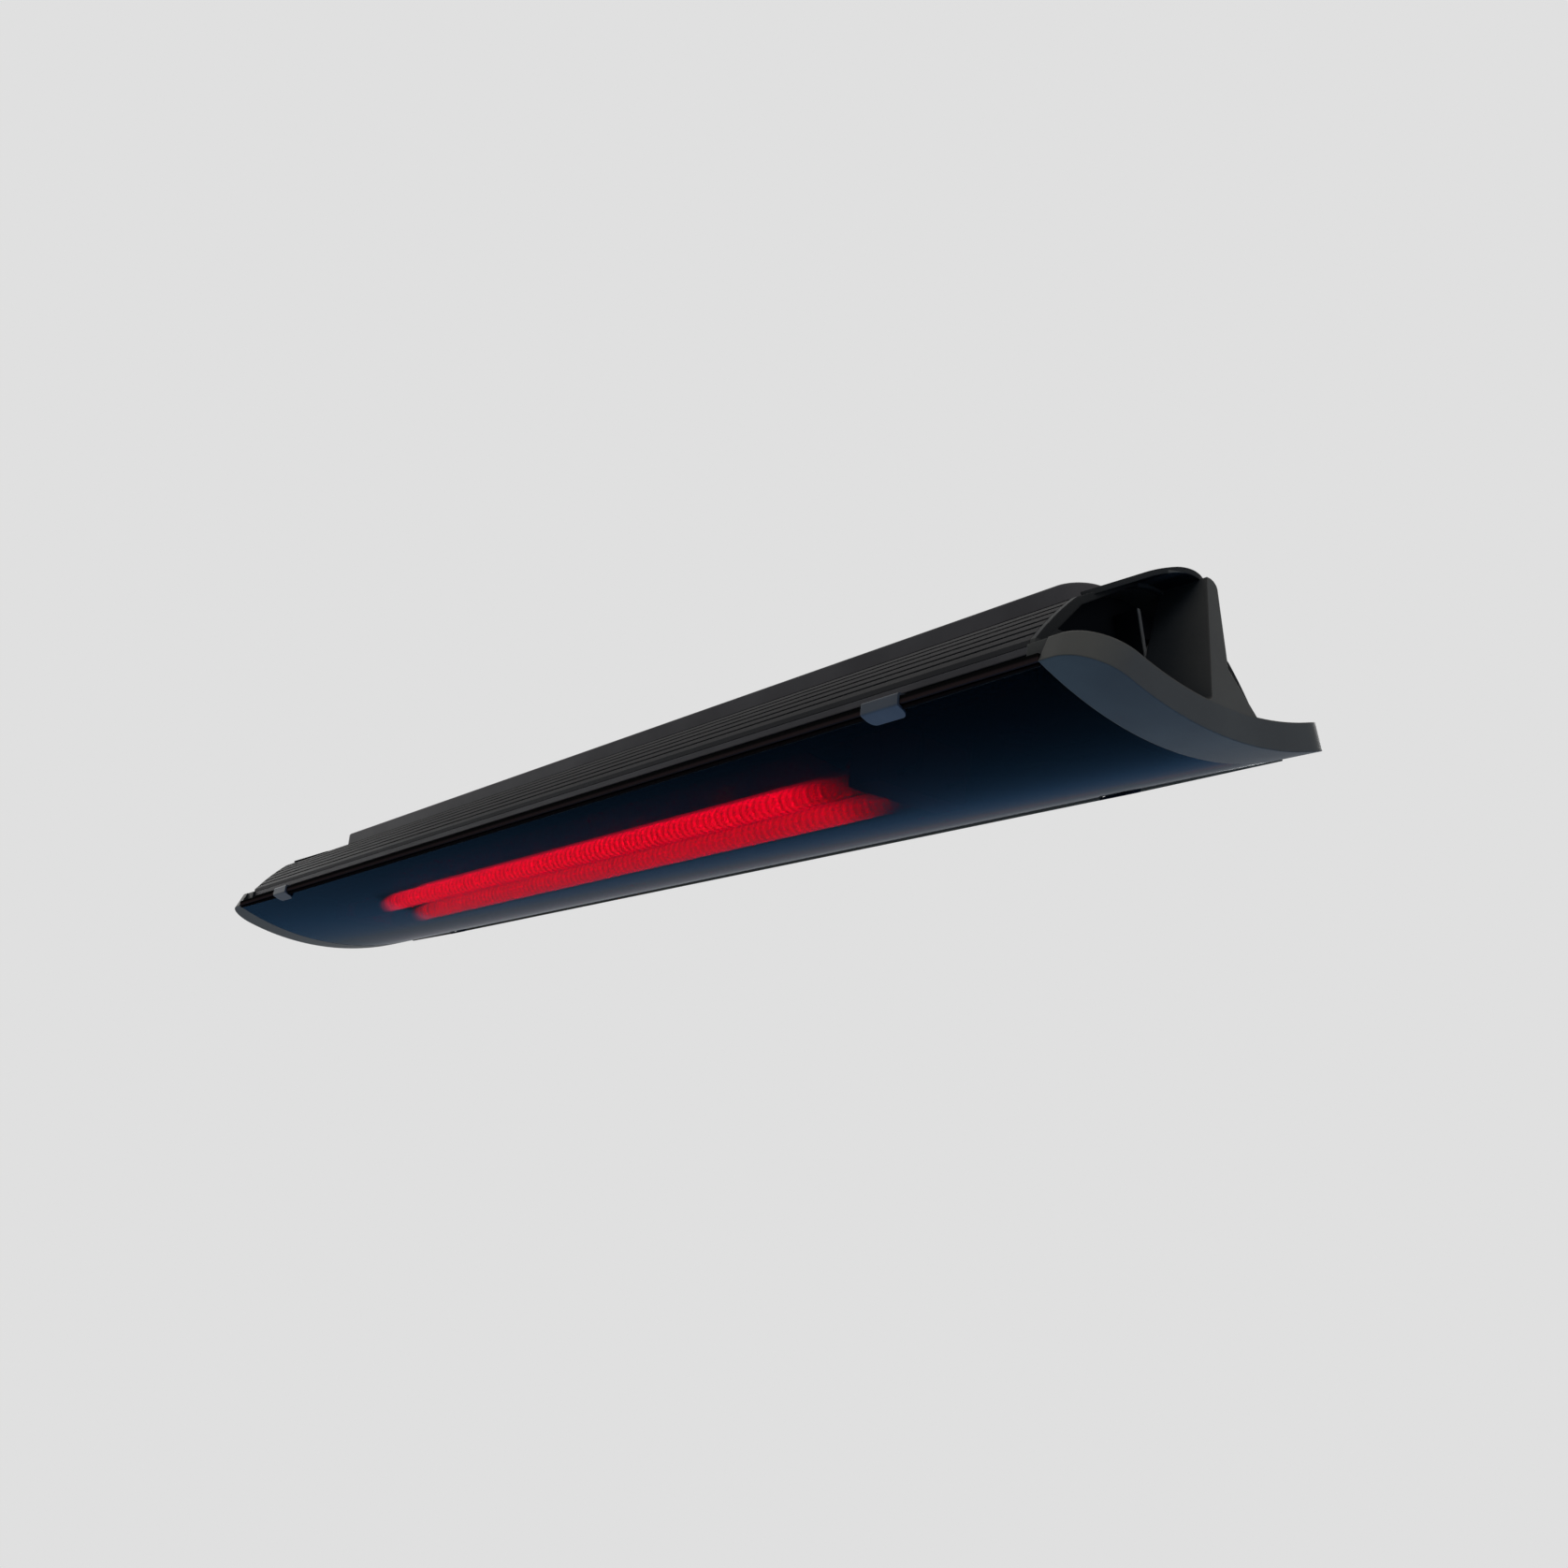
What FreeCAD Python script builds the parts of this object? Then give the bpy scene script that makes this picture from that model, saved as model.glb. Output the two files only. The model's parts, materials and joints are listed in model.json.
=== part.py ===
import FreeCAD, Part
import math
import os

import Sketcher

# Radiant heater: a long ribbed housing with a curved glass front and open end caps.
# +X runs along the heater, +Y across it, +Z up; Z is zero at the lowest line of the glass.

os.makedirs("parts", exist_ok=True)
doc = FreeCAD.newDocument("RadiantHeater")

# Driving dimensions in millimetres, one sheet cell each
DRIVING = {
    # overall form
    "overall_length": 1138,
    "overall_width": 186,
    "front_radius": 234,
    "fit_gap": 0.3,
    "cut_overrun": 5,
    # housing profile
    "cap_reach": 48.5,
    "wall_thickness": 3,
    "foot_inset": 8.5,
    "foot_clear": 9.6,
    "foot_thickness": 3,
    "crease_inset": 35,
    "flank_height": 29.5,
    "crown_half_width": 24,
    "roof_height": 18.5,
    "flank_bulge": 1,
    "rib_depth": 1.8,
    "skirt_inset": 14,
    "deck_rise": 6,
    "deck_thickness": 2.5,
    "screw_boss_radius": 4.5,
    "screw_boss_inset": 19,
    # mounting rail
    "rail_inset": 31.5,
    "rail_width": 36,
    "rail_height": 9.7,
    "rail_edge_radius": 1.5,
    "slot_inset": 39,
    "slot_width": 9,
    "slot_lip": 1.8,
    "slot_inner_width": 15,
    "slot_depth": 6,
    "rail_screw_spacing": 400,
    "rail_screw_radius": 2,
    "rail_screw_head_radius": 3.6,
    "rail_screw_head_height": 1.4,
    # glass, trims and seals
    "glass_thickness": 3.2,
    "glass_edge_inset": 2,
    "seal_height": 2.5,
    "trim_thickness": 1,
    "trim_rise": 0.5,
    # glass clips
    "clip_inset": 110.7,
    "clip_width": 29,
    "clip_thickness": 1.5,
    "clip_lip": 9,
    "clip_corner_radius": 5,
    "clip_screw_radius": 1.25,
    "clip_screw_head_radius": 2.6,
    "clip_screw_head_height": 1.6,
    "clip_screw_length": 2.4,
    # end caps
    "cap_face_length": 34,
    "flange_thickness": 15,
    "cap_corner_radius": 26,
    "collar_length": 3.5,
    "cheek_overhang": 2,
    "back_wall_thickness": 4,
    "nose_length": 25,
    "nose_half_width": 10,
    "nose_tip_radius": 30,
    "nose_root_inset": 6,
    "visor_thickness": 3,
    "visor_rise": 2,
    "fin_near_foot": 12,
    "fin_near_top": 5.5,
    "fin_far_top": 12.5,
    "fin_flare_height": 38,
    "fin_flare_top": 8,
    "fin_flare_foot": 25,
    "fin_lean": 20,
    "fin_top_radius": 5,
    "fin_root_radius": 4,
    "cap_screw_radius": 2,
    "cap_screw_length": 14,
    "cap_screw_head_radius": 3.5,
    "cap_screw_head_height": 2.5,
    # end plates inside the hood
    "plate_recess": 18.5,
    "plate_thickness": 1.5,
    "gland_across": 19.25,
    "tab_lift": 5.5,
    "tab_height": 26,
    "tab_top": 9.5,
    "tab_foot": 2,
    "tab_thickness": 2,
    # heating tubes
    "tube_radius": 7.5,
    "tube_wall": 1.2,
    "right_cold_space": 180.5,
    "left_cold_space": 100.5,
    "tube_spacing": 37,
    "tube_height": 16,
    "filament_inset": 44,
    "filament_radius": 4.9,
    "filament_wire_radius": 1.1,
    # reflector and insulation
    "reflector_gap": 3,
    "reflector_radius": 17,
    "reflector_thickness": 0.8,
    "reflector_edge_rise": 2,
    "reflector_wing_height": 24,
    "reflector_lip_height": 31,
    "ridge_thickness": 1,
    "mat_gap": 29.5,
    # ceramic holders
    "holder_length": 26,
    "holder_half_width": 34,
    "holder_base_height": 8,
    "holder_bore_depth": 12,
    # wiring
    "block_length": 46,
    "block_width": 22,
    "block_height": 14,
    "block_clear": 17,
    "block_bore_radius": 2.2,
    "lead_radius": 1.4,
    "lead_bend": 6,
    "lead_clear": 18,
    "lead_lift": 6.5,
    "lead_hole_radius": 3,
    "cutout_radius": 8,
    "cutout_height": 7,
    "cutout_flange_radius": 11,
    "cutout_flange_height": 1.2,
    "cutout_clear": 46,
    "cutout_offset": 30,
    "gland_radius": 6,
    "gland_bore_radius": 4,
    "gland_nut_radius": 8,
    "gland_nut_length": 5,
    "gland_tail_length": 9,
    "earth_screw_head_radius": 4.2,
    "earth_screw_head_height": 3,
    "earth_screw_clear": 12,
    "earth_screw_inset": 17,
}

RIB_COUNT = 6
RIB_CREST_SHARE = 0.7
FILAMENT_CURLS = 48
QUARTERS_PER_CURL = 4
GLAND_SIDES = 6
ENDS = {"right": 1, "left": -1}
SIDES = {"front": -1, "back": 1}

sheet = doc.addObject("Spreadsheet::Sheet", "Sizes")
for row, (alias, number) in enumerate(DRIVING.items(), start=1):
    sheet.set(f"A{row}", alias)
    sheet.set(f"B{row}", str(number))
    sheet.setAlias(f"B{row}", alias)
doc.recompute()


class Size:
    """A length together with the sheet formula that gives it."""

    def __init__(self, number, formula):
        self.number = number
        self.formula = formula

    def __add__(self, other):
        other = as_size(other)
        return Size(self.number + other.number, f"({self.formula} + {other.formula})")

    def __sub__(self, other):
        other = as_size(other)
        return Size(self.number - other.number, f"({self.formula} - {other.formula})")

    def __mul__(self, other):
        other = as_size(other)
        return Size(self.number * other.number, f"({self.formula} * {other.formula})")

    def __truediv__(self, other):
        other = as_size(other)
        return Size(self.number / other.number, f"({self.formula} / {other.formula})")

    def __neg__(self):
        return self * -1


def as_size(value):
    return value if isinstance(value, Size) else Size(value, f"({value:.9g})")


def root(value):
    return Size(math.sqrt(value.number), f"sqrt({value.formula})")


def sheet_size(alias):
    return Size(float(sheet.get(alias)), f"Sizes.{alias}")


S = {alias: sheet_size(alias) for alias in DRIVING}
zero = as_size(0)

# Sizes that several pieces share
half_length = S["overall_length"] / 2
half_width = S["overall_width"] / 2
housing_end = half_length - S["cap_reach"]
housing_length = housing_end * 2
cap_start = housing_end + S["fit_gap"]
cap_face_start = half_length - S["cap_face_length"]
glass_half_length = cap_face_start - S["fit_gap"]
glass_edge = half_width - S["glass_edge_inset"]
S["foot_half_width"] = half_width - S["foot_inset"]
S["crease_half_width"] = half_width - S["crease_inset"]
S["skirt_half_width"] = half_width - S["skirt_inset"]
S["screw_boss_spread"] = S["skirt_half_width"] - S["screw_boss_inset"]
S["nose_root_half_width"] = S["crease_half_width"] - S["nose_root_inset"]
skirt_inner = S["skirt_half_width"] - S["wall_thickness"]
tube_side = S["tube_spacing"] / 2
tube_right = housing_end - S["right_cold_space"]
tube_left = housing_end - S["left_cold_space"]
tube_length = tube_right + tube_left
tube_middle = (tube_right - tube_left) / 2
reflector_length = tube_length - (S["holder_bore_depth"] + S["reflector_gap"]) * 2
holder_right = tube_right - S["holder_bore_depth"] + S["holder_length"]
lead_rise = holder_right + S["lead_clear"]
block_start = lead_rise + S["block_clear"]
block_end = block_start + S["block_length"]
clip_place = glass_half_length - S["clip_inset"]


def front_height(across, offset):
    """Height of the curved front at a distance across, offset inwards from its outer face."""
    radius = S["front_radius"] - offset
    return S["front_radius"] - root(radius * radius - across * across)


# Heights, each set on the one below it
trim_bottom = front_height(half_width + S["fit_gap"], -S["fit_gap"]) + S["fit_gap"]
trim_inner_top = front_height(glass_edge, S["glass_thickness"]) + S["trim_rise"]
trim_top = trim_inner_top + S["trim_thickness"]
clip_leg_top = trim_top + S["fit_gap"] + S["clip_thickness"]
foot_bottom = trim_top + S["foot_clear"]
S["foot_height"] = foot_bottom + S["foot_thickness"]
S["crease_height"] = S["foot_height"] + S["flank_height"]
S["crown_side_height"] = S["crease_height"] + S["roof_height"]
S["deck_height"] = S["foot_height"] + S["deck_rise"]
deck_top = S["deck_height"] + S["deck_thickness"]
S["tab_low"] = deck_top + S["tab_lift"]
S["tab_high"] = S["tab_low"] + S["tab_height"]
S["lead_height"] = deck_top + S["lead_lift"]
seat_height = front_height(S["skirt_half_width"], S["glass_thickness"]) + S["seal_height"]

# Roof: two straight slopes that run into a round crown
roof_run = S["crease_half_width"] - S["crown_half_width"]
roof_rise = S["crown_side_height"] - S["crease_height"]
roof_slope = root(roof_run * roof_run + roof_rise * roof_rise)
crown_radius = S["crown_half_width"] * roof_slope / roof_rise
crown_centre = S["crown_side_height"] - S["crown_half_width"] * roof_run / roof_rise
S["rail_top_height"] = crown_centre + crown_radius + S["rail_height"]

# Flank: from the foot up to the crease, slightly bulging
flank_run = S["foot_half_width"] - S["crease_half_width"]
flank_rise = S["crease_height"] - S["foot_height"]
flank_length = root(flank_run * flank_run + flank_rise * flank_rise)
flank_radius = flank_length * flank_length / (S["flank_bulge"] * 8) + S["flank_bulge"] / 2
flank_wall = (S["wall_thickness"] + S["rib_depth"]) * flank_length / flank_rise


def new_body(label):
    body = doc.addObject("PartDesign::Body", label)
    body.Label = label
    return body


def new_sketch(body, name, role, offset=zero):
    """A sketch on one of the body's own origin planes, moved along the plane's normal."""
    sketch = body.newObject("Sketcher::SketchObject", name)
    plane = [feature for feature in body.Origin.OriginFeatures if feature.Role == role][0]
    sketch.AttachmentSupport = [(plane, "")]
    sketch.MapMode = "FlatFace"
    sketch.setExpression(".AttachmentOffset.Base.z", offset.formula)
    return sketch


def arc_between(start, end, radius, turn):
    """Arc from start to end with the given radius; turn is 1 to the left and -1 to the right."""
    chord = end - start
    rise = math.sqrt(max(radius ** 2 - (chord.Length / 2) ** 2, 0))
    normal = FreeCAD.Vector(-chord.y, chord.x, 0).normalize()
    centre = (start + end) / 2 + normal * rise * turn
    circle = Part.Circle(centre, FreeCAD.Vector(0, 0, 1), radius)
    first, last = (start, end) if turn > 0 else (end, start)
    angles = [math.atan2(point.y - centre.y, point.x - centre.x) for point in (first, last)]
    return Part.ArcOfCircle(circle, angles[0], angles[1])


def place_rules(geometry, position, point):
    """Constraints, with their formulas, that hold a sketch point at its two coordinates."""
    rules = []
    for kind, axis, value in (("DistanceX", -2, point[0]), ("DistanceY", -1, point[1])):
        value = as_size(value)
        if value.number == 0:
            rules.append((Sketcher.Constraint("PointOnObject", geometry, position, axis), None))
        elif value.number > 0:
            rule = Sketcher.Constraint(kind, -1, 1, geometry, position, value.number)
            rules.append((rule, value.formula))
        else:
            rule = Sketcher.Constraint(kind, geometry, position, -1, 1, -value.number)
            rules.append((rule, (-value).formula))
    return rules


def add_rules(sketch, rules):
    first = sketch.ConstraintCount
    sketch.addConstraint([rule for rule, formula in rules])
    for index, (rule, formula) in enumerate(rules):
        if formula:
            sketch.setExpression(f"Constraints[{first + index}]", formula)


def outline(sketch, corners):
    """Closed outline. A corner is (a, b), or (a, b, radius, turn) where an arc starts there."""
    base = sketch.GeometryCount
    points = [FreeCAD.Vector(as_size(c[0]).number, as_size(c[1]).number, 0) for c in corners]
    geometry = []
    ends = []
    rules = []
    for index, corner in enumerate(corners):
        start = points[index]
        end = points[(index + 1) % len(points)]
        if len(corner) == 2:
            geometry.append(Part.LineSegment(start, end))
            ends.append((1, 2))
        else:
            radius, turn = corner[2:]
            geometry.append(arc_between(start, end, radius.number, turn))
            ends.append((1, 2) if turn > 0 else (2, 1))
            rules.append((Sketcher.Constraint("Radius", base + index, radius.number), radius.formula))
    sketch.addGeometry(geometry, False)
    for index, corner in enumerate(corners):
        following = (index + 1) % len(corners)
        joint = Sketcher.Constraint(
            "Coincident", base + index, ends[index][1], base + following, ends[following][0])
        rules.append((joint, None))
        rules.extend(place_rules(base + index, ends[index][0], corner))
    add_rules(sketch, rules)


def circle(sketch, across, up, radius):
    index = sketch.GeometryCount
    centre = FreeCAD.Vector(as_size(across).number, as_size(up).number, 0)
    sketch.addGeometry(Part.Circle(centre, FreeCAD.Vector(0, 0, 1), radius.number), False)
    rules = [(Sketcher.Constraint("Radius", index, radius.number), radius.formula)]
    add_rules(sketch, rules + place_rules(index, 3, (across, up)))


def mirror(points):
    """The other half of a symmetric path: the same corners in reverse on the other side."""
    return [(-as_size(point[0]), point[1]) for point in reversed(points)]


def box_outline(sketch, left, bottom, right, top):
    outline(sketch, [(left, bottom), (right, bottom), (right, top), (left, top)])


def feature(body, kind, sketch, length, symmetric=False, reverse=False):
    item = body.newObject(f"PartDesign::{kind}", f"{sketch.Name}{kind}")
    item.Profile = sketch
    item.SideType = "Symmetric" if symmetric else "One side"
    item.Reversed = reverse
    item.setExpression("Length", length.formula)
    doc.recompute()
    return item


def pad(body, sketch, length, symmetric=False, reverse=False):
    return feature(body, "Pad", sketch, length, symmetric, reverse)


def pocket(body, sketch, length, symmetric=False, reverse=False):
    """A cut; it must take something away."""
    before = body.Shape.Volume
    item = feature(body, "Pocket", sketch, length, symmetric, reverse)
    if body.Shape.Volume >= before:
        raise RuntimeError(f"{item.Name} cuts nothing")
    return item


def fillet(body, radius, chosen):
    """Rounds the edges of the body's tip that the test picks."""
    tip = body.Tip
    names = [f"Edge{i}" for i, edge in enumerate(tip.Shape.Edges, start=1) if chosen(edge)]
    if not names:
        raise ValueError(f"no edge to round on {body.Name}")
    item = body.newObject("PartDesign::Fillet", f"{body.Name}Fillet")
    item.Base = (tip, names)
    item.setExpression("Radius", radius.formula)
    doc.recompute()
    return item


def place(body, along=zero, across=zero, up=zero, half_turn=False):
    """Placement of a finished body, turned half round about Z where asked."""
    angle = 180 if half_turn else 0
    body.Placement = FreeCAD.Placement(FreeCAD.Vector(), FreeCAD.Rotation(FreeCAD.Vector(0, 0, 1), angle))
    for axis, value in zip("xyz", (along, across, up)):
        body.setExpression(f".Placement.Base.{axis}", value.formula)
    return body


def near(value, target):
    return abs(value - target.number) < S["fit_gap"].number


def flank_point(share, depth):
    """Point on the right flank, by its share of the way from foot to crease and its depth."""
    bulge = S["flank_bulge"] * (4 * share * (1 - share)) - depth
    across = S["foot_half_width"] - flank_run * share + bulge * flank_rise / flank_length
    up = S["foot_height"] + flank_rise * share + bulge * flank_run / flank_length
    return (across, up)


def make_housing():
    body = new_body("housing")
    ribs = []
    for rib in range(RIB_COUNT):
        start_share = rib / RIB_COUNT
        crest_share = (rib + RIB_CREST_SHARE) / RIB_COUNT
        end_share = (rib + 1) / RIB_COUNT
        ribs.append(flank_point(start_share, zero))
        ribs.append(flank_point(crest_share, zero))
        ribs.append(flank_point(crest_share, S["rib_depth"]))
        ribs.append(flank_point(end_share, S["rib_depth"]))
    right = [
        (S["skirt_half_width"], seat_height),
        (S["skirt_half_width"], foot_bottom),
        (S["foot_half_width"], foot_bottom),
    ] + ribs + [
        (S["crease_half_width"], S["crease_height"]),
        (S["crown_half_width"], S["crown_side_height"]),
    ]
    left = mirror(right)
    right[-1] = right[-1] + (crown_radius, 1)
    below = [
        (-skirt_inner, seat_height),
        (-skirt_inner, S["deck_height"]),
        (skirt_inner, S["deck_height"]),
        (skirt_inner, seat_height),
    ]
    section = new_sketch(body, "housing_section", "YZ_Plane")
    outline(section, right + left + below)
    chamber_outline(section, zero)
    pad(body, section, housing_length, symmetric=True)
    bosses = new_sketch(body, "housing_bosses", "YZ_Plane")
    for side in SIDES.values():
        circle(bosses, S["screw_boss_spread"] * side, boss_height, S["screw_boss_radius"])
        circle(bosses, S["screw_boss_spread"] * side, boss_height, S["cap_screw_radius"])
    pad(body, bosses, housing_length, symmetric=True)
    holes = new_sketch(body, "housing_lead_holes", "XY_Plane", S["deck_height"])
    for side in SIDES.values():
        circle(holes, lead_rise, tube_side * side, S["lead_hole_radius"])
    pocket(body, holes, S["deck_thickness"] + S["fit_gap"], reverse=True)
    return body


boss_height = S["deck_height"] - S["screw_boss_radius"] + S["fit_gap"]


def chamber_sizes(gap):
    """Corners of the hollow under the roof, drawn in by a gap."""
    floor = deck_top + gap
    inset = flank_wall + gap
    foot = S["foot_half_width"] - (floor - S["foot_height"]) * flank_run / flank_rise - inset
    crease_up = S["crease_height"] - S["wall_thickness"] - gap
    crease = S["foot_half_width"] - (crease_up - S["foot_height"]) * flank_run / flank_rise - inset
    wall = S["wall_thickness"] + gap
    crown_side = S["crown_half_width"] - wall * roof_rise / roof_slope
    crown_up = S["crown_side_height"] - wall * roof_run / roof_slope
    return floor, foot, crease, crease_up, crown_side, crown_up, crown_radius - wall


def chamber_outline(sketch, gap):
    floor, foot, crease, crease_up, crown_side, crown_up, radius = chamber_sizes(gap)
    right = [(foot, floor), (crease, crease_up), (crown_side, crown_up)]
    left = mirror(right)
    right[-1] = right[-1] + (radius, 1)
    outline(sketch, right + left)


def make_rail():
    """Rail with half-round ends, hollowed to sit on the crown, with a slot for sliding nuts."""
    body = new_body("mounting_rail")
    side = S["rail_width"] / 2
    straight = housing_end - S["rail_inset"] - side
    bottom = S["crown_side_height"]
    plan = new_sketch(body, "rail_plan", "XY_Plane", bottom)
    outline(plan, [
        (-straight, -side),
        (straight, -side, side, 1),
        (straight + side, zero, side, 1),
        (straight, side),
        (-straight, side, side, 1),
        (-(straight + side), zero, side, 1),
    ])
    pad(body, plan, S["rail_top_height"] - bottom)
    fillet(body, S["rail_edge_radius"], lambda edge: near(edge.BoundBox.ZMin, S["rail_top_height"]))
    seat = new_sketch(body, "rail_seat", "YZ_Plane")
    circle(seat, zero, crown_centre, crown_radius + S["fit_gap"])
    pocket(body, seat, housing_length, symmetric=True)
    slot = new_sketch(body, "rail_slot", "YZ_Plane")
    mouth = S["slot_width"] / 2
    inner = S["slot_inner_width"] / 2
    lip_bottom = S["rail_top_height"] - S["slot_lip"]
    floor = S["rail_top_height"] - S["slot_depth"]
    above = S["rail_top_height"] + S["cut_overrun"]
    outline(slot, [
        (mouth, above), (-mouth, above), (-mouth, lip_bottom), (-inner, lip_bottom),
        (-inner, floor), (inner, floor), (inner, lip_bottom), (mouth, lip_bottom),
    ])
    pocket(body, slot, (housing_end - S["rail_inset"] - S["slot_inset"]) * 2, symmetric=True)
    holes = new_sketch(body, "rail_holes", "XY_Plane", floor)
    for place_sign in ENDS.values():
        circle(holes, S["rail_screw_spacing"] / 2 * place_sign, zero, S["rail_screw_radius"] + S["fit_gap"])
    pocket(body, holes, floor - bottom, symmetric=False)
    return body


def make_rail_screws():
    body = new_body("rail_screws")
    floor = S["rail_top_height"] - S["slot_depth"]
    heads = new_sketch(body, "rail_screw_heads", "XY_Plane", floor)
    shanks = new_sketch(body, "rail_screw_shanks", "XY_Plane", floor)
    for place_sign in ENDS.values():
        along = S["rail_screw_spacing"] / 2 * place_sign
        circle(heads, along, zero, S["rail_screw_head_radius"])
        circle(shanks, along, zero, S["rail_screw_radius"])
    pad(body, heads, S["rail_screw_head_height"])
    pad(body, shanks, floor - crown_centre - crown_radius, reverse=True)
    return body


def make_glass():
    body = new_body("glass_front")
    section = new_sketch(body, "glass_section", "YZ_Plane")
    inner_radius = S["front_radius"] - S["glass_thickness"]
    outline(section, [
        (-glass_edge, front_height(glass_edge, zero), S["front_radius"], 1),
        (glass_edge, front_height(glass_edge, zero)),
        (glass_edge, front_height(glass_edge, S["glass_thickness"]), inner_radius, -1),
        (-glass_edge, front_height(glass_edge, S["glass_thickness"])),
    ])
    pad(body, section, glass_half_length * 2, symmetric=True)
    return body


def make_seal(name, half_turn):
    """Flat seal between the glass and the skirt of one long side."""
    body = new_body(name)
    section = new_sketch(body, f"{name}_section", "YZ_Plane")
    outline(section, [
        (skirt_inner, front_height(skirt_inner, S["glass_thickness"] + S["fit_gap"] / 2)),
        (S["skirt_half_width"], front_height(S["skirt_half_width"], S["glass_thickness"] + S["fit_gap"] / 2)),
        (S["skirt_half_width"], seat_height),
        (skirt_inner, seat_height),
    ])
    pad(body, section, housing_length, symmetric=True)
    return place(body, half_turn=half_turn)


def make_trim(name, half_turn):
    """Angle strip that covers the glass's edge and reaches back to the skirt."""
    body = new_body(name)
    leg = glass_edge + S["fit_gap"]
    section = new_sketch(body, f"{name}_section", "YZ_Plane")
    outline(section, [
        (leg, trim_bottom), (half_width, trim_bottom), (half_width, trim_top),
        (S["skirt_half_width"], trim_top), (S["skirt_half_width"], trim_inner_top), (leg, trim_inner_top),
    ])
    pad(body, section, glass_half_length * 2, symmetric=True)
    return place(body, half_turn=half_turn)


clip_tab_top = foot_bottom - S["fit_gap"]
clip_screw_height = (clip_tab_top + clip_leg_top) / 2
clip_tab_face = S["skirt_half_width"] + S["clip_thickness"]


def make_clip(name, along, half_turn):
    """Bent clip: tab on the skirt, leg over the trim and lip under the glass."""
    body = new_body(name)
    leg_inner = half_width + S["fit_gap"]
    leg_outer = leg_inner + S["clip_thickness"]
    lip_tip = leg_outer - S["clip_lip"]
    under = -S["fit_gap"]
    outside = under - S["clip_thickness"]
    leg_bottom = clip_leg_top - S["clip_thickness"]
    section = new_sketch(body, f"{name}_section", "YZ_Plane")
    outline(section, [
        (lip_tip, front_height(lip_tip, under), S["front_radius"] - under, 1),
        (leg_inner, front_height(leg_inner, under)),
        (leg_inner, leg_bottom),
        (S["skirt_half_width"], leg_bottom),
        (S["skirt_half_width"], clip_tab_top),
        (clip_tab_face, clip_tab_top),
        (clip_tab_face, clip_leg_top),
        (leg_outer, clip_leg_top),
        (leg_outer, front_height(leg_outer, outside), S["front_radius"] - outside, -1),
        (lip_tip, front_height(lip_tip, outside)),
    ])
    pad(body, section, S["clip_width"], symmetric=True)

    corners = new_sketch(body, f"{name}_lip_corners", "XY_Plane")
    side = S["clip_width"] / 2
    rounding = S["clip_corner_radius"]
    past = S["cut_overrun"]
    for end in ENDS.values():
        outline(corners, [
            ((side + past) * end, lip_tip - past),
            ((side + past) * end, lip_tip + rounding),
            (side * end, lip_tip + rounding, rounding, -end),
            ((side - rounding) * end, lip_tip),
            ((side - rounding) * end, lip_tip - past),
        ])
    pocket(body, corners, leg_bottom - S["clip_thickness"], reverse=True)

    def at_bend(edge):
        box = edge.BoundBox
        return near(box.YMin, leg_outer) and near(box.XLength, S["clip_width"])

    fillet(body, S["clip_thickness"], at_bend)
    return place(body, along=along, half_turn=half_turn)


def make_clip_screws(name, half_turn):
    """The two clip screws of one long side, driven into the skirt."""
    body = new_body(name)
    heads = new_sketch(body, f"{name}_heads", "XZ_Plane", -clip_tab_face)
    shanks = new_sketch(body, f"{name}_shanks", "XZ_Plane", -clip_tab_face)
    for end in ENDS.values():
        circle(heads, clip_place * end, clip_screw_height, S["clip_screw_head_radius"])
        circle(shanks, clip_place * end, clip_screw_height, S["clip_screw_radius"])
    pad(body, heads, S["clip_screw_head_height"], reverse=True)
    pad(body, shanks, S["clip_screw_length"])
    return place(body, half_turn=half_turn)


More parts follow.
